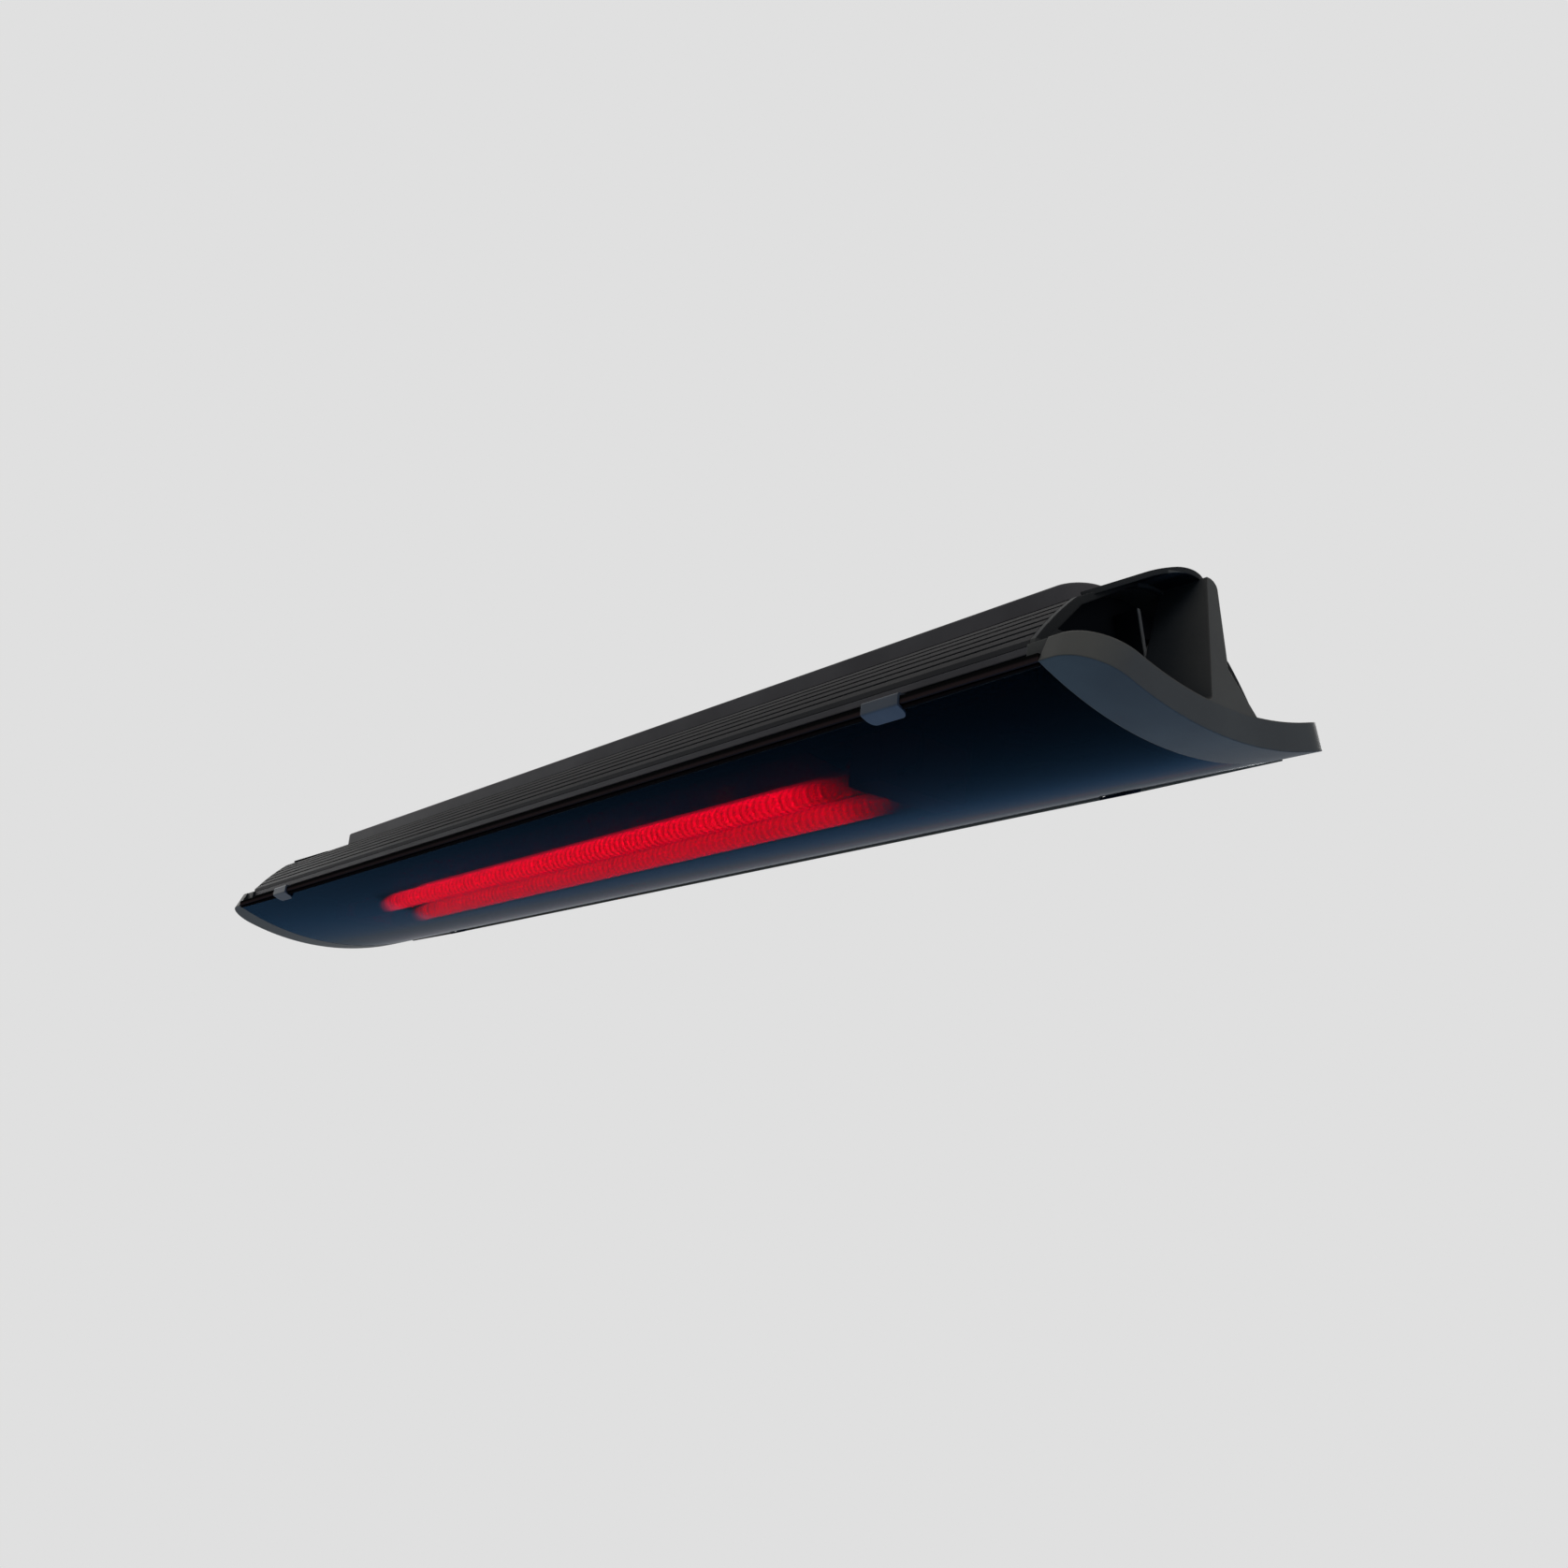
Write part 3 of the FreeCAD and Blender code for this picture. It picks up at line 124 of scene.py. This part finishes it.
def powder_coat(name, hex_dark, hex_light, roughness, peel_mm, level,
                recess_shade_mm=0, edge_mm=0.7, hood_shade_hex=None):
    """Powder-coated metal: an even dark satin skin with fine orange peel, soft edges and painted shade in
    recesses.
    """
    made, tree = new_material(name)
    cloud = grain(tree, CLOUD_MM, detail=3)
    tone = node(tree, "ValToRGB", {"Fac": cloud}, [(0.35, hex_dark), (0.65, hex_light)])[0]
    shades = []
    # Painted shade: ambient occlusion darkens the coat colour in its recesses
    if recess_shade_mm:
        hollow = node(tree, "AmbientOcclusion", {"Distance": recess_shade_mm * MM}, samples=8)["AO"]
        dim, bright = RECESS_SHADE_OPEN
        shades.append(node(tree, "ValToRGB", {"Fac": hollow}, [(dim, RECESS_SHADE_TINT), (bright, WHITE)])[0])
    # Painted shade: a cap's hood and collar are darkened by their place on it
    if hood_shade_hex:
        shades.append(node(tree, "ValToRGB", {"Fac": hood_shade_share(tree)}, [(0.0, WHITE), (1.0, hood_shade_hex)])[0])
    for shade in shades:
        tone = node(tree, "Mix", {0: 1.0, 6: tone, 7: shade}, data_type="RGBA", blend_type="MULTIPLY")[2]
    peel = grain(tree, peel_mm, detail=2)
    gloss = node(tree, "MapRange", {"Value": peel, "To Min": roughness - GLOSS_SWING,
                                    "To Max": roughness + GLOSS_SWING})[0]
    rounded = node(tree, "Bevel", {"Radius": edge_mm * MM}, samples=6)[0]
    relief = node(tree, "Bump", {"Height": peel, "Normal": rounded, "Strength": PEEL_STRENGTH,
                                 "Distance": PEEL_HEIGHT_MM * MM})[0]
    skin = node(tree, "BsdfPrincipled", {"Base Color": tone, "Roughness": gloss, "Normal": relief,
                                         "Specular IOR Level": level})[0]
    node(tree, "OutputMaterial", {"Surface": skin})
    return made


# Rolled and drawn metal: swing of its roughness, relief of its lines
ROLLED_SWING = 0.07
ROLLED_STRENGTH = 0.15
ROLLED_HEIGHT_MM = 0.04


def sheet_metal(name, hex_dark, hex_light, roughness, grain_mm, stretch=(1, 1, 1)):
    """Rolled, drawn or turned metal: fine lines along the way of the work, or fine grit, and a soft sheen."""
    made, tree = new_material(name)
    lines = grain(tree, grain_mm, detail=3, stretch=stretch)
    tone = node(tree, "ValToRGB", {"Fac": lines}, [(0.3, hex_dark), (0.7, hex_light)])[0]
    gloss = node(tree, "MapRange", {"Value": lines, "To Min": roughness - ROLLED_SWING,
                                    "To Max": roughness + ROLLED_SWING})[0]
    relief = node(tree, "Bump", {"Height": lines, "Strength": ROLLED_STRENGTH,
                                 "Distance": ROLLED_HEIGHT_MM * MM})[0]
    skin = node(tree, "BsdfPrincipled", {"Base Color": tone, "Roughness": gloss, "Normal": relief,
                                         "Metallic": 1.0})[0]
    node(tree, "OutputMaterial", {"Surface": skin})
    return made


MINERAL_HEIGHT_MM = 0.2


def plain_mineral(name, hex_dark, hex_light, roughness, grain_mm, bump):
    """Fired, felted or moulded stuff: matt, a little mottled, with a grain of its own size."""
    made, tree = new_material(name)
    spots = grain(tree, grain_mm, detail=3)
    tone = node(tree, "ValToRGB", {"Fac": spots}, [(0.35, hex_dark), (0.65, hex_light)])[0]
    relief = node(tree, "Bump", {"Height": spots, "Strength": bump, "Distance": MINERAL_HEIGHT_MM * MM})[0]
    skin = node(tree, "BsdfPrincipled", {"Base Color": tone, "Normal": relief, "Roughness": roughness})[0]
    node(tree, "OutputMaterial", {"Surface": skin})
    return made


TWO_TONE_GRIT_MM = 0.8


def two_tone(name, axis, limit_mm, hex_inner, hex_outer, roughness=0.5, blend_mm=0.2):
    """Sheet or bar in two tones: one up to a distance from the middle along the axis, the other beyond it."""
    made, tree = new_material(name)
    reach = node(tree, "Math", {0: own_place(tree)[axis]}, operation="ABSOLUTE")[0]
    beyond = node(tree, "MapRange", {"Value": reach, "From Min": (limit_mm - blend_mm / 2) * MM,
                                     "From Max": (limit_mm + blend_mm / 2) * MM},
                  interpolation_type="SMOOTHSTEP")[0]
    tone = node(tree, "ValToRGB", {"Fac": beyond}, [(0.0, hex_inner), (1.0, hex_outer)])[0]
    grit = grain(tree, TWO_TONE_GRIT_MM, detail=2)
    gloss = node(tree, "MapRange", {"Value": grit, "To Min": roughness - GLOSS_SWING,
                                    "To Max": roughness + GLOSS_SWING})[0]
    skin = node(tree, "BsdfPrincipled", {"Base Color": tone, "Roughness": gloss,
                                         "Specular IOR Level": 0.0})[0]
    node(tree, "OutputMaterial", {"Surface": skin})
    return made


# Heated stretch, in metres: its middle and half length in the back tube, how far to the right of that and how
# much shorter at each end it is in the front tube, the fade at its ends and how much steeper the left one is
HEAT_MIDDLE = -0.0370
HEAT_HALF = 0.3155
HEAT_FRONT_SHIFT = 0.0073
HEAT_FRONT_LESS = 0.0042
HEAT_FADE = 0.07
HEAT_LEFT_STEEPNESS = 2.3

# Tubes, in metres: their distance from the middle and their height. Then how much the glow draws in with the
# height above them, half the width over which one tube's share passes to the other, and the back one's light
TUBE_SIDE = 0.0185
TUBE_HEIGHT = 0.016
DEPTH_SHORTENING = 2.5
TUBE_SHARE_HALF = 0.01
BACK_TUBE_LIGHT = 0.6

# Light of the heated pieces and its painted reflection on the reflector: its colour, its strengths, the
# spacing of its bright bands and the least light between them. Beside a tube a trough has the painted
# reflection in full up to one distance and none from another, in metres, and the ridge between the tubes
# counts as closer than it is
GLOW_RED = "#ff0a58"
REFLECTOR_PAINTED_GLOW = 5.2
QUARTZ_GLOW = 6.2
CARBON_GLOW = 7.0
BAND_MM = 7
REFLECTOR_BAND_LEAST = 0.6
QUARTZ_BAND_LEAST = 0.45
TROUGH_LIT = 0.010
TROUGH_DARK = 0.0165
RIDGE_CLOSENESS = 0.5


def front_share(tree, place):
    """One at the front tube, zero at the back one."""
    return node(tree, "MapRange", {"Value": place["Y"], "From Min": TUBE_SHARE_HALF,
                                   "From Max": -TUBE_SHARE_HALF}, interpolation_type="SMOOTHSTEP")[0]


def heat_along(tree, place, fade, ahead=0.0):
    """Share of full glow: one in the heated stretch, zero past its ends, and shorter above the tubes.

    A stretch that is moved ahead lies that far to the right, in metres.
    """
    front = front_share(tree, place)
    middle = node(tree, "Math", {0: front, 1: HEAT_FRONT_SHIFT, 2: HEAT_MIDDLE + ahead},
                  operation="MULTIPLY_ADD")[0]
    along = node(tree, "Math", {0: place["X"], 1: middle}, operation="SUBTRACT")[0]
    off = node(tree, "Math", {0: along}, operation="ABSOLUTE")[0]
    reach = node(tree, "Math", {0: front, 1: HEAT_FRONT_LESS, 2: off}, operation="MULTIPLY_ADD")[0]
    height = node(tree, "Math", {0: place["Z"], 1: TUBE_HEIGHT}, operation="SUBTRACT")[0]
    depth = node(tree, "Math", {0: height, 1: 0.0}, operation="MAXIMUM")[0]
    deep = node(tree, "Math", {0: depth, 1: DEPTH_SHORTENING, 2: reach}, operation="MULTIPLY_ADD")[0]
    past = node(tree, "Math", {0: deep, 1: HEAT_HALF}, operation="SUBTRACT")[0]
    left = node(tree, "Math", {0: along, 1: 0.0}, operation="LESS_THAN")[0]
    steep = node(tree, "MapRange", {"Value": left, "To Min": 1.0, "To Max": HEAT_LEFT_STEEPNESS})[0]
    slope = node(tree, "Math", {0: past, 1: steep}, operation="MULTIPLY")[0]
    return node(tree, "MapRange", {"Value": slope, "From Min": fade / 2, "From Max": -fade / 2},
                interpolation_type="SMOOTHSTEP")[0]


def tube_light(tree, place, band_least):
    """Light of both tubes along the heater, in fine bright and dark bands, and less at the back tube."""
    heat = heat_along(tree, place, HEAT_FADE)
    turns = node(tree, "Math", {0: place["X"], 1: 2 * math.pi / (BAND_MM * MM)}, operation="MULTIPLY")[0]
    wave = node(tree, "Math", {0: turns}, operation="SINE")[0]
    bands = node(tree, "MapRange", {"Value": wave, "From Min": -1.0, "To Min": band_least})[0]
    share = node(tree, "MapRange", {"Value": front_share(tree, place), "To Min": BACK_TUBE_LIGHT})[0]
    banded = node(tree, "Math", {0: heat, 1: bands}, operation="MULTIPLY")[0]
    return node(tree, "Math", {0: banded, 1: share}, operation="MULTIPLY")[0]


# Sheen of the glass: its greatest share and the share of its bluest tint. A field below the tubes has less of
# it, in metres: the field's middle across, where it ends and where it is full, how far ahead of the heated
# stretch it lies, and its fade. Last comes the share of the sheen that the field takes away
SHEEN_MOST = 0.25
SHEEN_BLUEST = 0.1
FIELD_MIDDLE = -0.028
FIELD_END = 0.038
FIELD_FULL = 0.020
FIELD_AHEAD = 0.055
FIELD_FADE = 0.06
FIELD_CALM = 0.7


def dark_glass():
    """Black glass ceramic, rolled and polished: only red passes, and a blue sheen grows at a flat angle.

    The sheen is a shader of its own on the outer face, so the body under it has an IOR close to one.
    """
    made, tree = new_material("glass_ceramic_black_polished")
    body = node(tree, "BsdfPrincipled", {"Base Color": "#3c0b1c", "Roughness": 0.12, "IOR": 1.010,
                                         "Transmission Weight": 1.0})[0]
    flatness = node(tree, "Fresnel", {"IOR": 1.08})[0]
    edge = node(tree, "Math", {0: flatness, 1: SHEEN_MOST}, operation="MINIMUM")[0]
    tint = node(tree, "ValToRGB", {"Fac": edge}, [(SHEEN_BLUEST, "#5091cd"), (SHEEN_MOST, "#64798f")])[0]
    sheen = node(tree, "BsdfAnisotropic", {"Color": tint, "Roughness": 0.16})[0]
    inner = node(tree, "NewGeometry")["Backfacing"]
    outer = node(tree, "Math", {0: 1.0, 1: inner}, operation="SUBTRACT")[0]
    place = own_place(tree)
    across = node(tree, "Math", {0: place["Y"], 1: FIELD_MIDDLE}, operation="SUBTRACT")[0]
    aside = node(tree, "Math", {0: across}, operation="ABSOLUTE")[0]
    strip = node(tree, "MapRange", {"Value": aside, "From Min": FIELD_END, "From Max": FIELD_FULL},
                 interpolation_type="SMOOTHSTEP")[0]
    heat = heat_along(tree, place, FIELD_FADE, FIELD_AHEAD)
    field = node(tree, "Math", {0: heat, 1: strip}, operation="MULTIPLY")[0]
    calm = node(tree, "Math", {0: field, 1: -FIELD_CALM, 2: 1.0}, operation="MULTIPLY_ADD")[0]
    facing = node(tree, "Math", {0: edge, 1: outer}, operation="MULTIPLY")[0]
    share = node(tree, "Math", {0: facing, 1: calm}, operation="MULTIPLY")[0]
    skin = node(tree, "MixShader", {0: share, 1: body, 2: sheen})[0]
    node(tree, "OutputMaterial", {"Surface": skin})
    return made


def painted_glow_reflector():
    """Bright rolled aluminium: fine rolling lines, and the red of the tubes painted into both troughs as
    emission.
    """
    made, tree = new_material("aluminium_reflector_bright_rolled")
    lines = grain(tree, size_mm=0.6, detail=3, stretch=(0.02, 1, 1))
    tone = node(tree, "ValToRGB", {"Fac": lines}, [(0.3, "#2c2c2e"), (0.7, "#38383a")])[0]
    place = own_place(tree)
    aside = node(tree, "Math", {0: place["Y"]}, operation="ABSOLUTE")[0]
    outward = node(tree, "Math", {0: aside, 1: TUBE_SIDE}, operation="SUBTRACT")[0]
    inward = node(tree, "Math", {0: outward, 1: -RIDGE_CLOSENESS}, operation="MULTIPLY")[0]
    off_tube = node(tree, "Math", {0: outward, 1: inward}, operation="MAXIMUM")[0]
    trough = node(tree, "MapRange", {"Value": off_tube, "From Min": TROUGH_DARK, "From Max": TROUGH_LIT},
                  interpolation_type="SMOOTHSTEP")[0]
    light = tube_light(tree, place, REFLECTOR_BAND_LEAST)
    # Painted reflection: the red of the tubes in the troughs is emitted by the reflector itself
    glow = node(tree, "Math", {0: trough, 1: light}, operation="MULTIPLY")[0]
    strength = node(tree, "Math", {0: glow, 1: REFLECTOR_PAINTED_GLOW}, operation="MULTIPLY")[0]
    skin = node(tree, "BsdfPrincipled", {"Base Color": tone, "Metallic": 1.0, "Roughness": 0.5,
                                         "Emission Color": GLOW_RED, "Emission Strength": strength})[0]
    node(tree, "OutputMaterial", {"Surface": skin})
    return made


def hot_quartz():
    """Fused quartz drawn to a tube: clear with drawing streaks, red where the filament heats it."""
    made, tree = new_material("fused_quartz_drawn")
    streaks = grain(tree, size_mm=3, detail=2, stretch=(0.05, 1, 1))
    gloss = node(tree, "MapRange", {"Value": streaks, "To Min": 0.03, "To Max": 0.10})[0]
    light = tube_light(tree, own_place(tree), QUARTZ_BAND_LEAST)
    strength = node(tree, "Math", {0: light, 1: QUARTZ_GLOW}, operation="MULTIPLY")[0]
    skin = node(tree, "BsdfPrincipled", {"Base Color": "#f3d8d2", "IOR": 1.46, "Transmission Weight": 0.85,
                                         "Roughness": gloss, "Emission Color": GLOW_RED,
                                         "Emission Strength": strength})[0]
    node(tree, "OutputMaterial", {"Surface": skin})
    return made


def hot_carbon():
    """Carbon filament at red heat: a matt dark spiral with its own orange red light."""
    made, tree = new_material("carbon_fibre_filament_hot")
    flecks = grain(tree, size_mm=1.5, detail=2)
    colour = node(tree, "ValToRGB", {"Fac": flecks}, [(0.3, "#ff2a0a"), (0.7, "#ff4a1e")])[0]
    heat = heat_along(tree, own_place(tree), HEAT_FADE)
    strength = node(tree, "Math", {0: heat, 1: CARBON_GLOW}, operation="MULTIPLY")[0]
    skin = node(tree, "BsdfPrincipled", {"Base Color": "#1a0806", "Roughness": 0.8, "Emission Color": colour,
                                         "Emission Strength": strength})[0]
    node(tree, "OutputMaterial", {"Surface": skin})
    return made


# Where the paint of the end plates stops at their bare tabs, where the bead's bronze stops, a trim's middle
PLATE_BARE_MM = 519.6
BEAD_BRONZE_MM = 90.3
TRIM_MIDDLE_MM = sum(corner[2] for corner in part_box("edge_trim_front")) / 2 / MM

# Coated pieces: satin dark greys, a shade lighter on the rail and the caps, cooler on the clips
HOUSING = powder_coat("aluminium_extrusion_powder_coated", "#282727", "#2b2a2a",
                      roughness=0.55, peel_mm=0.7, level=0.015)
RAIL = powder_coat("aluminium_rail_powder_coated", "#373536", "#3f3d3e",
                   roughness=0.5, peel_mm=0.7, level=0.03)
# The caps get painted shade in their recesses and on hood and collar, the clips in their recesses
CAP = powder_coat("die_cast_aluminium_powder_coated", "#373634", "#3e3d3a",
                  roughness=0.5, peel_mm=0.6, level=0.04, recess_shade_mm=60, edge_mm=1.2, hood_shade_hex="#8f949c")
CLIP = powder_coat("spring_steel_powder_coated", "#35383d", "#404348",
                   roughness=0.45, peel_mm=0.5, level=0.06, recess_shade_mm=12, edge_mm=0.5)

# Two-tone pieces: black paint with a grey cut edge; bronze with painted shadow in black above (trim) or
# outside (bead)
INSIDE = two_tone("steel_sheet_black_painted_cut_edge_bare", "X", PLATE_BARE_MM, "#0f1114", "#585858")
# Painted shadow: the trim is black above its middle
TRIM = two_tone("aluminium_angle_anodised_bronze_painted_shadow_above", "Z", TRIM_MIDDLE_MM, "#261d1c", "#0b0a09",
                blend_mm=1.5)
# Painted shade: the bead is black on its outer face
BEAD = two_tone("aluminium_bead_bronze_anodised_painted_shade_outside", "Y", BEAD_BRONZE_MM, "#6b5d50", "#0e0b0b")

# Bare metals: near-black oxide on the screws, grey rolled steel, warm yellow brass
SCREW = sheet_metal("steel_black_oxide", "#2b2b2d", "#37373a", roughness=0.4, grain_mm=0.4)
PLATE = sheet_metal("steel_sheet_cold_rolled", "#55575b", "#6a6c70", roughness=0.45, grain_mm=0.5,
                    stretch=(1, 1, 0.05))
BRASS = sheet_metal("brass_turned", "#a8843c", "#c79d4a", roughness=0.3, grain_mm=0.4)

# Matt pieces: black rubber, cream ceramic, straw-coloured felt, a grey-brown woven sleeve, black plastic
SEAL = plain_mineral("silicone_rubber_extruded", "#141414", "#1b1b1b", roughness=0.7, grain_mm=1.2, bump=0.2)
CERAMIC = plain_mineral("steatite_ceramic_fired", "#d8d2c2", "#e6e1d4", roughness=0.55, grain_mm=1.5,
                        bump=0.25)
FELT = plain_mineral("mineral_wool_felted", "#a59d86", "#beb69e", roughness=0.95, grain_mm=2.5, bump=0.8)
SLEEVE = plain_mineral("glass_fibre_sleeve_braided", "#8c8678", "#a8a292", roughness=0.85, grain_mm=0.9,
                       bump=0.7)
GLAND = plain_mineral("polyamide_moulded", "#0d0d0e", "#161617", roughness=0.5, grain_mm=0.8, bump=0.25)

FINISHES = {
    "housing_paint": HOUSING, "cap_paint": CAP, "dark_glass": dark_glass(), "trim_metal": TRIM,
    "clip_steel": CLIP, "screw_steel": SCREW, "seal_rubber": SEAL, "quartz": hot_quartz(),
    "carbon": hot_carbon(), "bright_sheet": painted_glow_reflector(), "ceramic": CERAMIC, "mat_fibre": FELT,
    "lead_sleeve": SLEEVE, "plate_steel": PLATE, "plate_paint": INSIDE, "gland_plastic": GLAND,
    "brass": BRASS,
}
for part in frame["record"]["subparts"]:
    item = NODES[part["node"]]
    item.data.materials.clear()
    item.data.materials.append(FINISHES[part["material_slot"]])
NODES["mounting_rail"].data.materials[0] = RAIL

# Bronze bead with painted shade on its outer face, under each long edge of the glass, open at the clips, in
# metres
BEAD_RUNS = [(-0.5340, -0.4392), (-0.4094, 0.4094), (0.4392, 0.5340)]
BEAD_INNER = 0.0901
BEAD_OUTER = 0.0916
BEAD_LOW = 0.0166
BEAD_TOP = 0.0186
BEAD_TIP = 0.0010
BEAD_ROUND = 0.00025

# Lip under each long foot of the housing, in metres: its outside is flush with the foot, its top against it
FOOT_OUTER = 0.0845
FOOT_BOTTOM = 0.0330
LIP_RUNS = [(-0.5203, 0.5203)]
LIP_THICKNESS = 0.0018
LIP_DROP = 0.0042
LIP_ROUND = 0.0005


def make_bar(name, side, runs, inner, outer, low, top, rounding, finish, tip=None):
    """Slim bar on one long side: a cube stretched over each run, with round edges, and tapered outer ends if
    given a tip.
    """
    # The first cube only makes the object, and its mesh is emptied before the runs are added
    bpy.ops.object.select_all(action="DESELECT")
    bpy.ops.mesh.primitive_cube_add(size=1, location=(0, 0, 0))
    made = bpy.context.object
    made.name = name
    bpy.ops.object.mode_set(mode="EDIT")
    bpy.ops.mesh.select_all(action="SELECT")
    bpy.ops.mesh.delete(type="VERT")
    for start, end in runs:
        bpy.ops.mesh.select_all(action="DESELECT")
        bpy.ops.mesh.primitive_cube_add(size=1, location=(0, 0, 0))
        bpy.ops.transform.resize(value=(end - start, outer - inner, top - low))
        bpy.ops.transform.translate(value=((start + end) / 2, side * (inner + outer) / 2, (low + top) / 2))
    bpy.ops.mesh.select_all(action="DESELECT")
    if tip:
        bpy.ops.object.mode_set(mode="OBJECT")
        for vertex in made.data.vertices:
            vertex.select = abs(vertex.co.x) > runs[-1][1] - MM and vertex.co.z < (low + top) / 2
        bpy.ops.object.mode_set(mode="EDIT")
        bpy.ops.transform.translate(value=(0, 0, top - low - tip))
    bpy.ops.mesh.select_all(action="SELECT")
    bpy.ops.mesh.bevel(offset=rounding, segments=2)
    bpy.ops.mesh.select_all(action="SELECT")
    bpy.ops.mesh.normals_make_consistent(inside=False)
    bpy.ops.object.mode_set(mode="OBJECT")
    made.data.materials.append(finish)
    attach(made, "root")


for name, side in (("glass_bead_front", -1), ("glass_bead_back", 1)):
    make_bar(name, side, BEAD_RUNS, inner=BEAD_INNER, outer=BEAD_OUTER, low=BEAD_LOW, top=BEAD_TOP,
             rounding=BEAD_ROUND, finish=BEAD, tip=BEAD_TIP)
for name, side in (("foot_lip_front", -1), ("foot_lip_back", 1)):
    make_bar(name, side, LIP_RUNS, inner=FOOT_OUTER - LIP_THICKNESS, outer=FOOT_OUTER,
             low=FOOT_BOTTOM - LIP_DROP, top=FOOT_BOTTOM, rounding=LIP_ROUND, finish=RAIL)

# Studio, in metres: a pale floor far below the hanging heater and pale grey all round
FLOOR_SIZE = 30
FLOOR_DEPTH = -1.6
BACKDROP_GREY = "#e0e0e0"
FLOOR_BOUNCE = "#adcee7"
AMBIENT_TINT = "#dfe3e8"
AMBIENT_STRENGTH = 0.48


def backdrop(tree, lit, plain):
    """The plain shader to the camera, in reflections and through glass, and the lit one to other light."""
    path = node(tree, "LightPath")
    through = node(tree, "Math", {0: path["Is Glossy Ray"], 1: path["Is Transmission Ray"]},
                   operation="MAXIMUM")[0]
    seen = node(tree, "Math", {0: path["Is Camera Ray"], 1: through}, operation="MAXIMUM")[0]
    return node(tree, "MixShader", {0: seen, 1: lit, 2: plain})[0]


def floor_paper():
    """Pale matt paper: its own grey to the camera and in reflections, and a cool bounce on the underside."""
    made, tree = new_material("pale_backdrop_paper")
    lit = node(tree, "BsdfDiffuse", {"Color": FLOOR_BOUNCE})[0]
    plain = node(tree, "Emission", {"Color": BACKDROP_GREY})[0]
    node(tree, "OutputMaterial", {"Surface": backdrop(tree, lit, plain)})
    return made


bpy.ops.object.select_all(action="DESELECT")
bpy.ops.mesh.primitive_plane_add(size=FLOOR_SIZE, location=(0, 0, FLOOR_DEPTH))
floor = bpy.context.object
floor.name = "studio_floor"
floor.data.materials.append(floor_paper())

world = bpy.data.worlds.new("soft_studio")
world.use_nodes = True
sky = world.node_tree
sky.nodes.clear()
ambient = node(sky, "Background", {"Color": AMBIENT_TINT, "Strength": AMBIENT_STRENGTH})[0]
plain_grey = node(sky, "Background", {"Color": BACKDROP_GREY})[0]
node(sky, "OutputWorld", {"Surface": backdrop(sky, ambient, plain_grey)})
bpy.context.scene.world = world

# Soft lamps: place, what they point at and size in metres, power in watts, colour
LAMPS = {
    "key_lamp": ((1.6, -1.8, 1.6), (0.1, 0, 0.05), (1.6, 1.2), 22, WHITE),
    "end_lamp": ((2.2, 0.2, 0.3), (0.55, 0, 0.02), (0.8, 0.8), 7, WHITE),
    "fill_lamp": ((-1.6, -1.6, 0.6), (-0.3, 0, 0.05), (1.4, 1.2), 2.5, WHITE),
    "top_lamp": ((0.0, 0.3, 2.4), (0, 0, 0.06), (2.2, 1.6), 36, WHITE),
    "back_lamp": ((-0.6, 2.2, 1.2), (0, 0, 0.06), (1.8, 1.2), 34, WHITE),
    "left_lamp": ((-2.2, -0.2, 0.5), (-0.55, 0, 0.04), (0.9, 0.9), 7, WHITE),
    "under_lamp": ((0.9, 0.3, -1.3), (0.3, 0, 0.0), (1.6, 1.2), 20, "#5aa2f2"),
}
for name, (place, target, size, power, hex_colour) in LAMPS.items():
    light = bpy.data.lights.new(name, "AREA")
    light.shape = "RECTANGLE"
    light.size, light.size_y = size
    light.energy = power
    light.color = linear(hex_colour)[:3]
    lamp = bpy.data.objects.new(name, light)
    lamp.location = place
    lamp.rotation_euler = (Vector(target) - Vector(place)).to_track_quat("-Z", "Y").to_euler()
    bpy.context.collection.objects.link(lamp)

# Camera as the photograph has it: lens and film width in millimetres, place in metres, turn in degrees
LENS_MM = 37.2328
FILM_MM = 36
CAMERA_PLACE = (1.037314, -0.596227, -0.247945)
CAMERA_TURN = (105.75955, -5.07100, 52.53803)

camera = bpy.data.cameras.new("photo_camera")
camera.lens = LENS_MM
camera.sensor_width = FILM_MM
viewpoint = bpy.data.objects.new("photo_camera", camera)
viewpoint.location = CAMERA_PLACE
viewpoint.rotation_euler = Euler([math.radians(angle) for angle in CAMERA_TURN], "XYZ")
bpy.context.collection.objects.link(viewpoint)
bpy.context.scene.camera = viewpoint
bpy.context.scene.view_settings.view_transform = "Standard"
